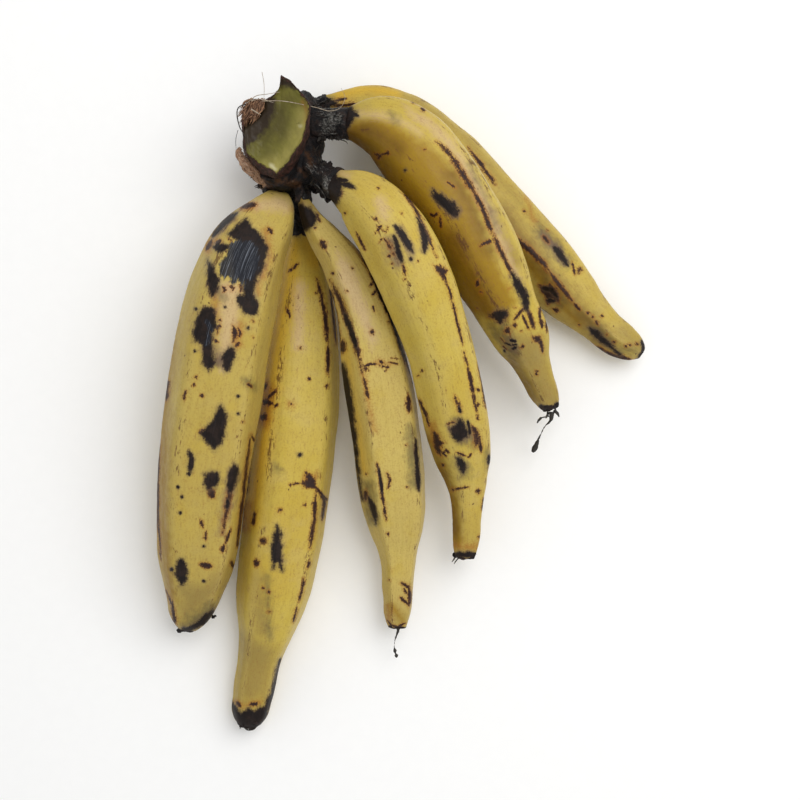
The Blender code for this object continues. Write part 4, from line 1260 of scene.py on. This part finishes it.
class PlantainSizes(bpy.types.PropertyGroup):
    """Sizes of the fine pieces."""

    peel_sides: IntProperty(name="Peel sides", description="Points round one finger", default=152, min=40)
    peel_rings: IntProperty(name="Peel rings", description="Rings along one finger", default=368, min=60)
    skin_share: FloatProperty(
        name="Skin share", description="Width of the fine peel as a share of its solid's", default=0.988,
        subtype="FACTOR",
    )
    peel_dents: FloatProperty(
        name="Peel dents", description="Height of the soft dents in the peel, in millimetres", default=0.32
    )
    crust_height: FloatProperty(
        name="Crust height", description="Height of the crust on withered parts, in millimetres", default=0.75
    )
    fibre_count: IntProperty(name="Fibres", description="Torn fibres on the cut wall", default=90, min=1)
    seed: IntProperty(name="Seed", description="Start of every random draw", default=20)


def colour_choice(name, text, *screen):
    """A colour that a user can change, from its 0 to 255 values on a screen."""
    return FloatVectorProperty(name=name, description=text, default=tone(*screen), size=3,
                               subtype="COLOR", min=0, max=1)


class PlantainColours(bpy.types.PropertyGroup):
    """Colours of every finish."""

    peel_bright: colour_choice("Bright peel", "Ripe peel in the light", 199, 175, 68)
    peel_deep: colour_choice("Deep peel", "Ripe peel, riper parts", 188, 160, 52)
    peel_pale: colour_choice("Pale peel", "Paler parts of the peel", 197, 175, 103)
    peel_olive: colour_choice("Olive peel", "Fibres and mottling of the peel", 152, 128, 44)
    peel_end: colour_choice("Peel at the ends", "Olive tint near neck and tip", 148, 126, 66)
    # Bright golden peel: partly the peel's own gold, partly painted light that lightens shaded creases between
    # fingers.
    peel_gold_and_painted_light: colour_choice("Bright golden peel", "Sides beside the next finger", 210, 170, 52)
    # Golden peel: partly the deeper gold of riper sides, partly painted shade on sides turned from the light.
    peel_golden_and_shade: colour_choice("Golden peel", "Deep golden sides", 148, 114, 18)
    peel_shaded: colour_choice("Shaded peel", "Brown-olive sides", 98, 68, 14)
    stain: colour_choice("Stain", "Orange-brown stain", 158, 98, 30)
    # Tan-pink peel: partly worn peel, partly painted highlights and glare on the peel.
    scraped_and_highlight: colour_choice("Scraped peel", "Tan-pink scraped peel", 205, 176, 138)
    bruise: colour_choice("Bruise", "Grey-green bruise", 84, 78, 52)
    smudge: colour_choice("Smudge", "Dull halo round the scuffs", 102, 82, 62)
    violet: colour_choice("Violet bruise", "Mauve-grey bruise", 100, 78, 76)
    scuff: colour_choice("Scuff", "Warm black of the scuffs", 22, 13, 9)
    brown: colour_choice("Brown mark", "Brown streaks and freckles", 74, 42, 26)
    brown_dark: colour_choice("Dark brown mark", "Core of the brown streaks", 40, 22, 20)
    black: colour_choice("Black", "Black scuffs and withered tissue", 16, 14, 16)
    black_blue: colour_choice("Blue-black", "Rubbed scuffs", 23, 25, 33)
    black_brown: colour_choice("Black-brown", "Brown of the withered tissue", 50, 36, 30)
    silver: colour_choice("Silver", "Rubbed lines in the scuffs", 116, 121, 130)
    grey: colour_choice("Grey", "Grey crust", 126, 124, 118)
    rust: colour_choice("Rust", "Orange-brown glints", 96, 62, 32)
    rim: colour_choice("Rim", "Red-brown rim of the cut", 78, 50, 42)
    tan: colour_choice("Tan", "Torn tan flap", 184, 154, 130)
    fibre: colour_choice("Fibre", "Brown fibres", 172, 130, 98)
    fibre_dark: colour_choice("Dark fibre", "Dark fibres", 84, 58, 42)
    cut_green: colour_choice("Cut green", "Moist cut face", 116, 111, 45)
    # Deeper green of the cut face: partly its own tone, partly painted shade in its hollow.
    cut_deep_and_shade: colour_choice("Deep cut green", "Deeper parts of the cut face", 80, 73, 33)
    # Yellow-green of the cut face: partly its own tone, partly painted light on its lower right.
    cut_pale_and_painted_light: colour_choice("Pale cut", "Yellow-green part of the cut face", 156, 145, 78)
    # Painted highlights: pale spots on the moist cut face where light is reflected.
    cut_painted_highlight: colour_choice("Cut glint", "Moist pale spots of the cut face", 222, 216, 180)
    cut_shadow: colour_choice("Cut shadow", "Dark wall of the cut", 47, 35, 27)
    ochre: colour_choice("Ochre", "Ochre band of the cut face", 140, 104, 42)
    thread_dark: colour_choice("Dark thread", "Dry threads", 24, 20, 20)
    thread_light: colour_choice("Worn thread", "Lighter strands of the dry threads", 72, 62, 58)
    hair: colour_choice("Hair", "Pale loose hairs", 190, 178, 160)
    hair_dark: colour_choice("Hair shade", "Darker strands of the pale hairs", 140, 122, 100)
    floor: colour_choice("Floor", "Plain pale floor", 250, 250, 249)


class PlantainLight(bpy.types.PropertyGroup):
    """The plain studio light."""

    key_power: FloatProperty(name="Key", description="Power of the large soft light", default=7.0, unit="POWER")
    key_size: FloatProperty(
        name="Key size", description="Side of the large soft light", default=0.9, unit="LENGTH"
    )
    fill_strength: FloatProperty(name="Fill", description="Strength of the even light all round", default=0.68)


class PlantainJob:
    """What every step of the work needs."""

    bl_options = {"REGISTER", "UNDO"}

    def settings(self):
        """The sizes, the colours and the light."""
        scene = bpy.context.scene
        return scene.plantain_sizes, scene.plantain_colours, scene.plantain_light


def flat_sided(angles, turn, crisp):
    """Width round a section of flats: 1 where two flats meet."""
    flats = turn + (np.arange(RIDGES) + 0.5) * 2 * math.pi / RIDGES
    lean = np.maximum(np.cos(angles[:, None] - flats), 0)
    width = (lean**crisp).sum(axis=1) ** (-1 / crisp)
    return width / width.max()


def peel_section(angles, finger):
    """Width of a finger round its section: 1 on each ridge, less on the flats between."""
    turn = math.radians(finger.ridge_turn)
    worn = np.zeros(len(angles))
    for bearing in finger.rounded:
        off = (np.degrees(angles) - bearing + 180) % 360 - 180
        worn = np.maximum(worn, np.cos(np.clip(off / ROUNDED_REACH, -1, 1) * math.pi / 2) ** 2)
    sharp = flat_sided(angles, turn, finger.crisp)
    width = sharp + worn * (flat_sided(angles, turn, ROUNDED_CRISP) - sharp)
    off_ridge = (angles - turn + math.pi / RIDGES) % (2 * math.pi / RIDGES) - math.pi / RIDGES
    crest = np.exp(-((np.degrees(off_ridge) / CREST_WIDTH) ** 2)) * (1 - worn)
    fine = 1 - finger.flat * (1 - width) + CREST_HEIGHT * crest
    wave = 0.5 + 0.5 * np.cos(RIDGES * (angles - turn))
    solid = 1 - SOLID_DEPTH * (1 - wave**SOLID_SHARPNESS)
    return fine + np.abs(np.cos(angles)) ** 3 * (solid - fine)


def peel_angles(sides):
    """Angles round a finger, closer together on its upper side."""
    closer = 0.35
    fine = np.linspace(0, 2 * math.pi, 4001)
    way = fine + closer * (1 - np.cos(fine))
    return np.interp(np.arange(sides) * 2 * math.pi / sides, way, fine)


def bulged(finger, at, angles):
    """How far each point of a finger's rings moves sideways, where its sides are fuller or leaner."""
    bulge = smooth(at, [row[0] for row in finger.fuller], np.array(finger.fuller)[:, 1:])
    lean = np.cos(angles)[None, :]
    bulge = lean * np.where(lean > 0, bulge[:, 1:], bulge[:, :1])
    return bulge[..., None] * along(finger.course, at)[2][:, None, :]


def hidden_marks(finger, number, far, angles, radius, seed):
    """Random streaks on the ridges and patches between them, for the sides that the photograph hides."""
    draw = np.random.default_rng(seed * 100 + number)
    length = far.max()
    black = np.full(len(far), -1.0)
    brown = np.full(len(far), -1.0)
    wander = 0.6 * np.sin(far / 9 + number) + 0.4 * np.sin(far / 3.7)
    ridges = [math.radians(finger.ridge_turn + 360 / RIDGES * ridge) for ridge in range(RIDGES)]
    streaks = [(bearing, True) for bearing in ridges for _ in range(RIDGE_STREAKS)]
    streaks += [(draw.uniform(0, 2 * math.pi), False) for _ in range(LOOSE_MARKS)]
    for bearing, on_ridge in streaks:
        middle = draw.uniform(0.18, 0.9) * length
        half = draw.uniform(7, 26) if on_ridge else draw.uniform(1.0, 4.5)
        width = draw.uniform(0.35, 0.9) if on_ridge else draw.uniform(0.8, 2.6)
        turn = (angles - bearing + math.pi) % (2 * math.pi) - math.pi
        across = turn * radius + (wander if on_ridge else 0)
        taper = np.clip(1 - np.abs(far - middle) / half, -1, 1)
        reach = width * np.sqrt(np.maximum(taper, 0)) - np.abs(across) - np.maximum(-taper, 0) * 4
        field = np.clip(reach / 0.7, -1, 1)
        if on_ridge or draw.uniform() < 0.4:
            brown = np.maximum(brown, field)
        else:
            black = np.maximum(black, field)
    return black, brown


class PLANTAIN_OT_fingers(PlantainJob, bpy.types.Operator):
    """Grow the six fingers with their ridged, scuffed peel"""

    bl_idname = "plantain.fingers"
    bl_label = "Grow fingers"

    def execute(self, context):
        sizes, colours, _ = self.settings()
        finish = kept_finish("ripe_peel", peel_finish, colours)
        for number, finger in FINGERS.items():
            self.grow(number, finger, sizes, finish)
        return {"FINISHED"}

    def grow(self, number, finger, sizes, finish):
        """Grow one finger"""
        sunk, crowding, dome = 1.4, 0.05, 0.7
        _, length = shares_of(finger.course)
        start = finger.neck - sunk / length
        spacing = np.linspace(0, 1, sizes.peel_rings)
        at = start + (1 - start) * (spacing + crowding * np.sin(math.pi * spacing))
        angles = peel_angles(sizes.peel_sides)
        wave = 0.5 + 0.5 * np.cos(RIDGES * (angles - math.radians(finger.ridge_turn)))
        section = peel_section(angles, finger)[None, :]
        neck_shrink = 1 - 0.1 * np.clip((finger.neck + 1.5 / length - at) * length / sunk / 2, 0, 1)
        section = section * sizes.skin_share * neck_shrink[:, None]
        rings = sweep(finger.course, finger.girth, at, angles, section, finger.depth)
        rings = domed_end(rings + bulged(finger, at, angles), dome)
        extra = len(rings) - len(at)
        way = np.concatenate([at * length, length + dome * np.linspace(0.2, 1, extra)])
        normals = ring_normals(rings)
        dents = sizes.peel_dents * layered(rings, DENT_WIDTH, number * 7, 2) - sizes.peel_dents * DENT_SINK
        dents += GRAIN_HEIGHT * grain(rings, GRAIN_WIDTH, number * 11)
        ending = np.clip((way - (length - finger.cap)) / 1.5, 0, 1)[:, None]
        rough_end = TIP_HEIGHT * layered(rings, TIP_WIDTH, number * 5) - TIP_HEIGHT
        dents = dents * (1 - ending) + ending * rough_end
        rings = rings + normals * dents[..., None]

        points, faces = skin(rings)
        around = np.broadcast_to(angles[None, :], rings.shape[:2])
        far = np.broadcast_to(way[:, None], rings.shape[:2])
        straight = laid_straight(way + 400 * number, angles, 20.0)
        seen = with_middles(turned_to_eye(rings, ring_normals(rings)))
        pixels = to_picture(points)
        wander = layered(points, 2.6, number * 3)
        fields = mark_fields(PEEL_MARKS[number], MARK_SOFTNESS, pixels, wander)
        for kind, field in fields.items():
            fields[kind] = (field + 1) * seen - 1
        far, around = with_middles(far), with_middles(around)
        radius = np.interp(far / length, *zip(*finger.girth)) / 2
        black, brown = hidden_marks(finger, number, far, around, radius, sizes.seed)
        away = 1 - seen
        fields["black"] = np.maximum(fields["black"], (black + 1) * away - 1)
        fields["brown"] = np.maximum(fields["brown"], (brown + 1) * away - 1)
        lace = layered(points, 3.0, number * 13)
        neck_far = finger.neck * length
        scab = np.maximum(neck_far + 1.2 + 1.8 * lace - far, far - (length - finger.cap) + 1.3 * lace)
        fields["black"] = np.maximum(fields["black"], np.clip(scab, -1, 1))
        near_end = np.maximum(1 - (far - neck_far) / 14, 1 - (length - far) / 30)
        fields["ends"] = np.clip(near_end, 0, 1) ** 1.3
        fields["ridge"] = with_middles(np.broadcast_to((wave**6)[None, :], rings.shape[:2]))
        fields["paler"] = np.full(len(points), finger.paler)
        fields["dull"] = np.maximum(fields["dull"], finger.dull)
        fields["straight"] = straight
        add_piece(f"peel_{number}", points, faces, finish, "peel", (f"finger_{number}",), fields)


def crown_fields(points):
    """How far inside each kind of mark on the crown every point lies."""
    return mark_fields(CROWN_MARKS, CROWN_SOFTNESS, to_picture(points), layered(points, 2.0, 71))


def laid_straight(way, angles, roll):
    """Places on rings as if the piece were straight: the way along it, then round it at one radius."""
    far, around = np.broadcast_arrays(way[:, None], angles[None, :])
    return with_middles(np.stack([far, roll * np.cos(around), roll * np.sin(around)], axis=-1))


class PLANTAIN_OT_stalks(PlantainJob, bpy.types.Operator):
    """Shape the six black withered stalks of the fingers"""

    bl_idname = "plantain.stalks"
    bl_label = "Shape finger stalks"

    def execute(self, context):
        sizes, colours, _ = self.settings()
        finish = kept_finish("withered_tissue", withered_finish, colours)
        angles = all_round(STALK_SIDES)
        for number, finger in FINGERS.items():
            _, length = shares_of(finger.course)
            at = np.linspace(0, finger.neck + PEDICEL_OVER / length, STALK_RINGS)
            knobs = np.sin(3 * angles[None, :] + number + 40 * at[:, None])
            knobs = knobs + 0.6 * np.sin(5 * angles[None, :] - 2 * number - 90 * at[:, None])
            fade = np.clip((finger.neck - at) / finger.neck * 3, 0, 1)[:, None]
            closing = np.clip((at - finger.neck) * length / PEDICEL_OVER, 0, 1)[:, None]
            waist = np.sin(math.pi * np.clip(at / finger.neck, 0, 1))[:, None] ** 0.7
            thinned = 1 - (1 - THINNED.get(number, 1.0)) * waist
            section = thinned * (1 + PEDICEL_KNOBS * knobs * fade - 0.16 * closing**2)
            rings = sweep(finger.course, finger.girth, at, angles, section, 1.0)
            rings = rings + bulged(finger, at, angles)
            rough = layered(rings, 3.4, number * 17, 4) + 0.5 * np.abs(grain(rings, 1.1, number))
            rings = rings + ring_normals(rings) * (sizes.crust_height * (rough - 0.25))[..., None]
            points, faces = skin(rings)
            fields = crown_fields(points)
            fields["straight"] = laid_straight(at * length, angles, 6.0)
            name = f"withered_stalk_{number}"
            add_piece(name, points, faces, finish, "withered", (f"pedicel_{number}",), fields)
        return {"FINISHED"}


class PLANTAIN_OT_cushion(PlantainJob, bpy.types.Operator):
    """Shape the black crown pad that the finger stalks root in"""

    bl_idname = "plantain.cushion"
    bl_label = "Shape crown pad"

    def execute(self, context):
        sizes, colours, _ = self.settings()
        finish = kept_finish("withered_tissue", withered_finish, colours)
        at = np.linspace(0, 1, CUSHION_RINGS)
        angles = all_round(CUSHION_SIDES)
        lumps = np.sin(4 * angles[None, :] + 9 * at[:, None])
        lumps = lumps + np.sin(7 * angles[None, :] - 31 * at[:, None])
        section = 0.97 * (1 + CUSHION_LUMPS * lumps)
        rings = sweep(CUSHION_COURSE, CUSHION_WIDTH, at, angles, section, CUSHION_DEPTH)
        rough = layered(rings, 5.0, 31, 4) + 0.5 * np.abs(grain(rings, 1.4, 37))
        rings = rings + ring_normals(rings) * (sizes.crust_height * (rough - 0.3))[..., None]
        points, faces = skin(rings)
        fields = crown_fields(points)
        fields["straight"] = laid_straight(at * shares_of(CUSHION_COURSE)[1], angles, 7.0)
        add_piece("crown_pad", points, faces, finish, "withered", ("crown_cushion",), fields)
        return {"FINISHED"}


class PLANTAIN_OT_cut_stalk(PlantainJob, bpy.types.Operator):
    """Cut the piece of bunch stalk with its moist face, spike and torn wall"""

    bl_idname = "plantain.cut_stalk"
    bl_label = "Cut bunch stalk"

    def execute(self, context):
        _, colours, _ = self.settings()
        finish = kept_finish("cut_stalk_tissue", cut_finish, colours)
        closed = np.array((*FACE_OUTLINE, FACE_OUTLINE[0]), float)
        shares, _ = shares_of(closed)
        way = np.arange(CUT_SIDES) / CUT_SIDES
        face = smooth(way, shares, closed)
        offset = face - FACE_MIDDLE
        heights = FACE_HEIGHT + offset @ FACE_SLOPE
        bearing = np.arctan2(offset[:, 1] / STALK_RADII[1], offset[:, 0] / STALK_RADII[0])
        oval = np.stack([np.cos(bearing), np.sin(bearing)], axis=1) * STALK_RADII
        walls = []
        for drop, size, roundness, shift_x, shift_y in STALK_LEVELS:
            outline = (offset * (1 - roundness) + oval * roundness) * size
            outline = outline + FACE_MIDDLE + (shift_x, shift_y)
            walls.append(np.column_stack([outline, heights - drop]))
        foot = oval * FOOT_SIZE + FACE_MIDDLE + np.array(FOOT_SHIFT)
        walls.append(np.column_stack([foot, np.zeros(len(foot))]))
        walls = np.array(walls)[::-1]
        levels = np.linspace(0, 1, CUT_WALL_RINGS)
        wall = smooth(levels, np.linspace(0, 1, len(walls)), walls.reshape(len(walls), -1))
        wall = wall.reshape(len(levels), -1, 3)
        wall[..., 2] = np.maximum(wall[..., 2], 0)
        inward = []
        for share in np.linspace(0.985, 0.02, CUT_FACE_RINGS):
            spot = offset * share
            lift = 0.7 * math.exp(-(((share - 0.95) / 0.03) ** 2))
            height = FACE_HEIGHT + spot @ FACE_SLOPE - FACE_HOLLOW * (1 - share**3) + lift - 0.5
            inward.append(np.column_stack([spot + FACE_MIDDLE, height]))
        rings = np.concatenate([wall, np.array(inward)])
        on_face = np.concatenate([np.zeros(len(wall) - 1), [0.5], np.ones(len(inward))])
        on_face = np.broadcast_to(on_face[:, None], rings.shape[:2])
        pixels = to_picture(rings.reshape(-1, 3))
        torn = mark_fields(CROWN_MARKS, CROWN_SOFTNESS, pixels, np.zeros(len(pixels)))
        torn_wall = (torn["fibre"].reshape(rings.shape[:2]) + 1) / 2 * on_face
        rings[..., 2] -= TORN_DEPTH * torn_wall**1.5
        rings[..., 2] += on_face * 0.5 * layered(rings, 5.0, 51, 4)
        normals = ring_normals(rings)
        bark = (1 - on_face) * (0.5 * layered(rings, 4.0, 53, 4) - 0.35)
        rings = rings + normals * bark[..., None]
        points, faces = skin(rings)
        fields = crown_fields(points)
        fields["face"] = with_middles(on_face)
        add_piece("cut_crown_stalk", points, faces, finish, "cut_stalk", ("crown_stalk",), fields)
        return {"FINISHED"}


def read_lines(table):
    """Courses and widths of the thin tubes in a table of pixels."""
    lines = []
    for row in rows_of(table):
        start, end, width = (float(word) for word in row[:3])
        pixels = read_points(row[3:])
        way, _ = shares_of(pixels)
        course = from_picture(pixels, start + (end - start) * way)
        lines.append((course, ((0, width), (0.7, width * 0.8), (1, width * 0.35))))
    return lines


class PLANTAIN_OT_flap(PlantainJob, bpy.types.Operator):
    """Curl the torn, crinkled flap beside the cut"""

    bl_idname = "plantain.flap"
    bl_label = "Curl torn flap"

    def execute(self, context):
        _, colours, _ = self.settings()
        finish = kept_finish("torn_flap", flap_finish, colours)
        pixels = read_points(FLAP_PIXELS.split())
        way, length = shares_of(pixels)
        course = from_picture(pixels, np.interp(way, *zip(*FLAP_HEIGHTS)))
        at = np.linspace(0, 1, FLAP_RINGS)
        angles = all_round(FLAP_SIDES)
        rings = sweep(course, FLAP_WIDTHS, at, angles, np.ones((1, len(angles))), FLAP_DEPTH)
        crinkle = 1.1 * layered(rings, 4.0, 91, 3) + 0.5 * grain(rings, 1.3, 92)
        rings[..., 2] += 0.8 * crinkle
        rings[..., :2] += 0.5 * np.stack([layered(rings, 2.3, seed, 3) for seed in (93, 94)], axis=-1)
        fields = {"straight": laid_straight(at * length, angles, 5.0)}
        add_piece("torn_flap", *skin(rings), finish, "cut_stalk", (), fields)
        return {"FINISHED"}


class PLANTAIN_OT_threads(PlantainJob, bpy.types.Operator):
    """Hang the dry flower threads on two tips"""

    bl_idname = "plantain.threads"
    bl_label = "Hang flower threads"

    def execute(self, context):
        _, colours, _ = self.settings()
        finish = dark_thread(colours)
        at = np.linspace(0, 1, THREAD_RINGS)
        section = np.full((1, THREAD_SIDES), 0.97)
        for number, (course, widths) in STYLES.items():
            rings = sweep(course, widths, at, all_round(THREAD_SIDES), section, 1.0)
            rings = rings + ring_normals(rings) * (0.16 * layered(rings, 0.9, number, 3) - 0.05)[..., None]
            add_piece(f"flower_thread_{number}", *skin(rings), finish, "dry_thread", (f"style_{number}",))
        add_piece("tip_frays", *tubes(read_lines(FRAYS), 10, 61, 0.3), finish, "dry_thread")
        return {"FINISHED"}


class PLANTAIN_OT_crumbs(PlantainJob, bpy.types.Operator):
    """Set the ragged crumbs of withered tissue at the tips and the crown"""

    bl_idname = "plantain.crumbs"
    bl_label = "Set crumbs"

    def execute(self, context):
        _, colours, _ = self.settings()
        finish = kept_finish("withered_tissue", withered_finish, colours)
        spots = []
        for row in rows_of(CRUMBS):
            height, width = float(row[0]), float(row[1])
            spots.append((from_picture(read_points(row[2:]), [height])[0], width))
        points, faces = blobs(spots, 67)
        fields = crown_fields(points)
        fields["straight"] = points
        add_piece("withered_crumbs", points, faces, finish, "withered", (), fields)
        return {"FINISHED"}


def fringe_lines(draw):
    """Courses and widths of the short ragged ends along the stalks."""
    lines = []
    for row in rows_of(FRINGES):
        height, count, length = float(row[0]), int(row[1]), float(row[2])
        heading, edge = read_points(row[3:4])[0], read_points(row[4:])
        way, _ = shares_of(edge)
        for _ in range(count):
            spot = draw.uniform(0, 1)
            root = np.array([np.interp(spot, way, column) for column in edge.T])
            lean = heading + draw.uniform(-0.5, 0.5, 2)
            reach = length * draw.uniform(0.3, 1.0)
            shares = np.array((-0.4, 0.0, 0.5, 1.0))[:, None]
            bend = draw.uniform(-0.8, 0.8, 2) * np.array((0, 0, 0.4, 1.0))[:, None]
            heights = height + draw.uniform(-4, 1) + 2 * shares[:, 0]
            course = from_picture(root + lean * reach * shares + bend, heights)
            width = draw.uniform(0.5, 1.5)
            lines.append((course, ((0, width), (0.5, width * 0.8), (1, width * 0.25))))
    return lines


def strand_lines(draw):
    """Courses and widths of the dry strands that lie along the stalks and part from them at their ends."""
    lines = []
    for number, count, first, last in STRANDS:
        finger = FINGERS[number]
        for _ in range(count):
            start = draw.uniform(first, last - 0.25)
            at = finger.neck * np.linspace(start, min(last, start + draw.uniform(0.14, 0.4)), 6)
            points, _, side, up = along(finger.course, at)
            turn = draw.uniform(0.1, 3.05) + np.cumsum(draw.uniform(-0.12, 0.12, 6))
            loose = np.array((0.5, 0.15, 0.1, 0.1, 0.2, 0.6)) * draw.uniform(0.4, 1.8)
            waist = np.sin(math.pi * at / finger.neck * 0.95) ** 0.7
            thinned = 1 - (1 - THINNED.get(number, 1.0)) * waist
            reach = (smooth(at, *zip(*finger.girth)) / 2 * thinned + 0.1 + loose)[:, None]
            course = points + reach * (np.cos(turn)[:, None] * side + np.sin(turn)[:, None] * up)
            width = draw.uniform(0.2, 0.45)
            lines.append((course, ((0, width * 0.4), (0.3, width), (0.7, width), (1, width * 0.3))))
    return lines


class PLANTAIN_OT_fibres(PlantainJob, bpy.types.Operator):
    """Lay the torn fibres and loose hairs at the cut"""

    bl_idname = "plantain.fibres"
    bl_label = "Lay torn fibres"

    def execute(self, context):
        sizes, colours, _ = self.settings()
        brown = kept_finish("torn_fibre", thread_finish, colours.fibre_dark, colours.fibre)
        pale = kept_finish("pale_hair", thread_finish, colours.hair_dark, colours.hair)
        dark = dark_thread(colours)
        grey = kept_finish("stalk_strand", thread_finish, colours.thread_dark, colours.grey)
        draw = np.random.default_rng(sizes.seed)
        lines = []
        for _ in range(sizes.fibre_count):
            top = np.array((draw.uniform(*FIBRE_COLUMNS), draw.uniform(*FIBRE_ROWS)))
            fall = draw.uniform(*FIBRE_FALL)
            bottom = top + (draw.uniform(-8, 0) - 0.3 * fall, fall)
            sway = draw.uniform(-2.5, 2.5, 2)
            upper, lower = top * 0.65 + bottom * 0.35 + sway, top * 0.3 + bottom * 0.7 - sway * 0.5
            pixels = np.array([top, upper, lower, bottom])
            lift = draw.uniform(0.2, 2.2)
            left = np.clip((FIBRE_WALL - pixels[:, 0]) / FIBRE_WALL_WIDTH, 0, 1)
            heights = FIBRE_HEIGHT - FIBRE_DROP * left + lift * np.array((0.2, 1, 0.8, 0.1))
            course = from_picture(pixels, heights)
            width = draw.uniform(0.28, 0.6)
            lines.append((course, ((0, width), (0.6, width), (1, width * 0.3))))
        add_piece("torn_fibres", *tubes(lines, 6, 83), brown, "cut_stalk")
        add_piece("stalk_strands", *tubes(strand_lines(draw), 6, 85), grey, "withered")
        add_piece("ragged_fringes", *tubes(fringe_lines(draw), 8, 86, 0.45), dark, "withered")
        add_piece("pale_hairs", *tubes(read_lines(PALE_HAIRS), 8, 87), pale, "dry_thread")
        add_piece("dark_hairs", *tubes(read_lines(DARK_HAIRS), 8, 89), dark, "dry_thread")
        return {"FINISHED"}


class PLANTAIN_OT_stage(PlantainJob, bpy.types.Operator):
    """Set the pale floor, the soft light and the camera"""

    bl_idname = "plantain.stage"
    bl_label = "Set stage"

    def execute(self, context):
        _, colours, light = self.settings()
        scene = bpy.context.scene
        corners = [(x * FLOOR_HALF, y * FLOOR_HALF, 0) for x, y in ((-1, -1), (1, -1), (1, 1), (-1, 1))]
        mesh = bpy.data.meshes.new("pale_floor")
        mesh.from_pydata(corners, [], [(0, 1, 2, 3)])
        mesh.materials.append(kept_finish("pale_floor", floor_finish, colours))
        floor = bpy.data.objects.new("pale_floor", mesh)
        floor.location.z = -FLOOR_DROP
        scene.collection.objects.link(floor)

        world = bpy.data.worlds.new("even_light")
        world.use_nodes = True
        back = world.node_tree.nodes["Background"]
        back.inputs["Color"].default_value = (1, 1, 1, 1)
        back.inputs["Strength"].default_value = light.fill_strength
        scene.world = world

        lamp = bpy.data.lights.new("soft_key", "AREA")
        lamp.energy = light.key_power
        lamp.size = light.key_size
        key = bpy.data.objects.new("soft_key", lamp)
        key.location = LIGHT_PLACE
        key.rotation_mode = "QUATERNION"
        key.rotation_quaternion = key.location.to_track_quat("Z", "Y")
        scene.collection.objects.link(key)

        lens = bpy.data.cameras.new("camera")
        lens.sensor_width = SENSOR_WIDTH
        lens.lens = SENSOR_WIDTH * EYE_PIXELS / PICTURE_SIDE
        camera = bpy.data.objects.new("camera", lens)
        camera.location = (-MIDDLE[0] * MM, -MIDDLE[1] * MM, EYE_HEIGHT * MM)
        scene.collection.objects.link(camera)
        scene.camera = camera
        scene.view_settings.view_transform = "Standard"
        scene.view_settings.look = "None"
        return {"FINISHED"}


STEPS = (
    PLANTAIN_OT_fingers,
    PLANTAIN_OT_stalks,
    PLANTAIN_OT_cushion,
    PLANTAIN_OT_cut_stalk,
    PLANTAIN_OT_flap,
    PLANTAIN_OT_threads,
    PLANTAIN_OT_crumbs,
    PLANTAIN_OT_fibres,
    PLANTAIN_OT_stage,
)


class PLANTAIN_PT_panel(bpy.types.Panel):
    """Sizes, colours and steps of the plantain hand"""

    bl_label = "Hand of plantains"
    bl_space_type = "VIEW_3D"
    bl_region_type = "UI"
    bl_category = "Plantains"

    def draw(self, context):
        scene = context.scene
        for settings in (scene.plantain_sizes, scene.plantain_light, scene.plantain_colours):
            box = self.layout.box()
            for name in settings.__annotations__:
                box.prop(settings, name)
        for step in STEPS:
            self.layout.operator(step.bl_idname)


SETTINGS = (PlantainSizes, PlantainColours, PlantainLight)


def register():
    """Makes the settings, the steps and the panel known to Blender."""
    for part in (*SETTINGS, *STEPS, PLANTAIN_PT_panel):
        bpy.utils.register_class(part)
    bpy.types.Scene.plantain_sizes = PointerProperty(type=PlantainSizes)
    bpy.types.Scene.plantain_colours = PointerProperty(type=PlantainColours)
    bpy.types.Scene.plantain_light = PointerProperty(type=PlantainLight)


def unregister():
    """Takes them away again."""
    del bpy.types.Scene.plantain_sizes
    del bpy.types.Scene.plantain_colours
    del bpy.types.Scene.plantain_light
    for part in reversed((*SETTINGS, *STEPS, PLANTAIN_PT_panel)):
        bpy.utils.unregister_class(part)


def main():
    """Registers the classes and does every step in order."""
    register()
    bpy.ops.plantain.fingers()
    bpy.ops.plantain.stalks()
    bpy.ops.plantain.cushion()
    bpy.ops.plantain.cut_stalk()
    bpy.ops.plantain.flap()
    bpy.ops.plantain.threads()
    bpy.ops.plantain.crumbs()
    bpy.ops.plantain.fibres()
    bpy.ops.plantain.stage()


if __name__ == "__main__":
    main()
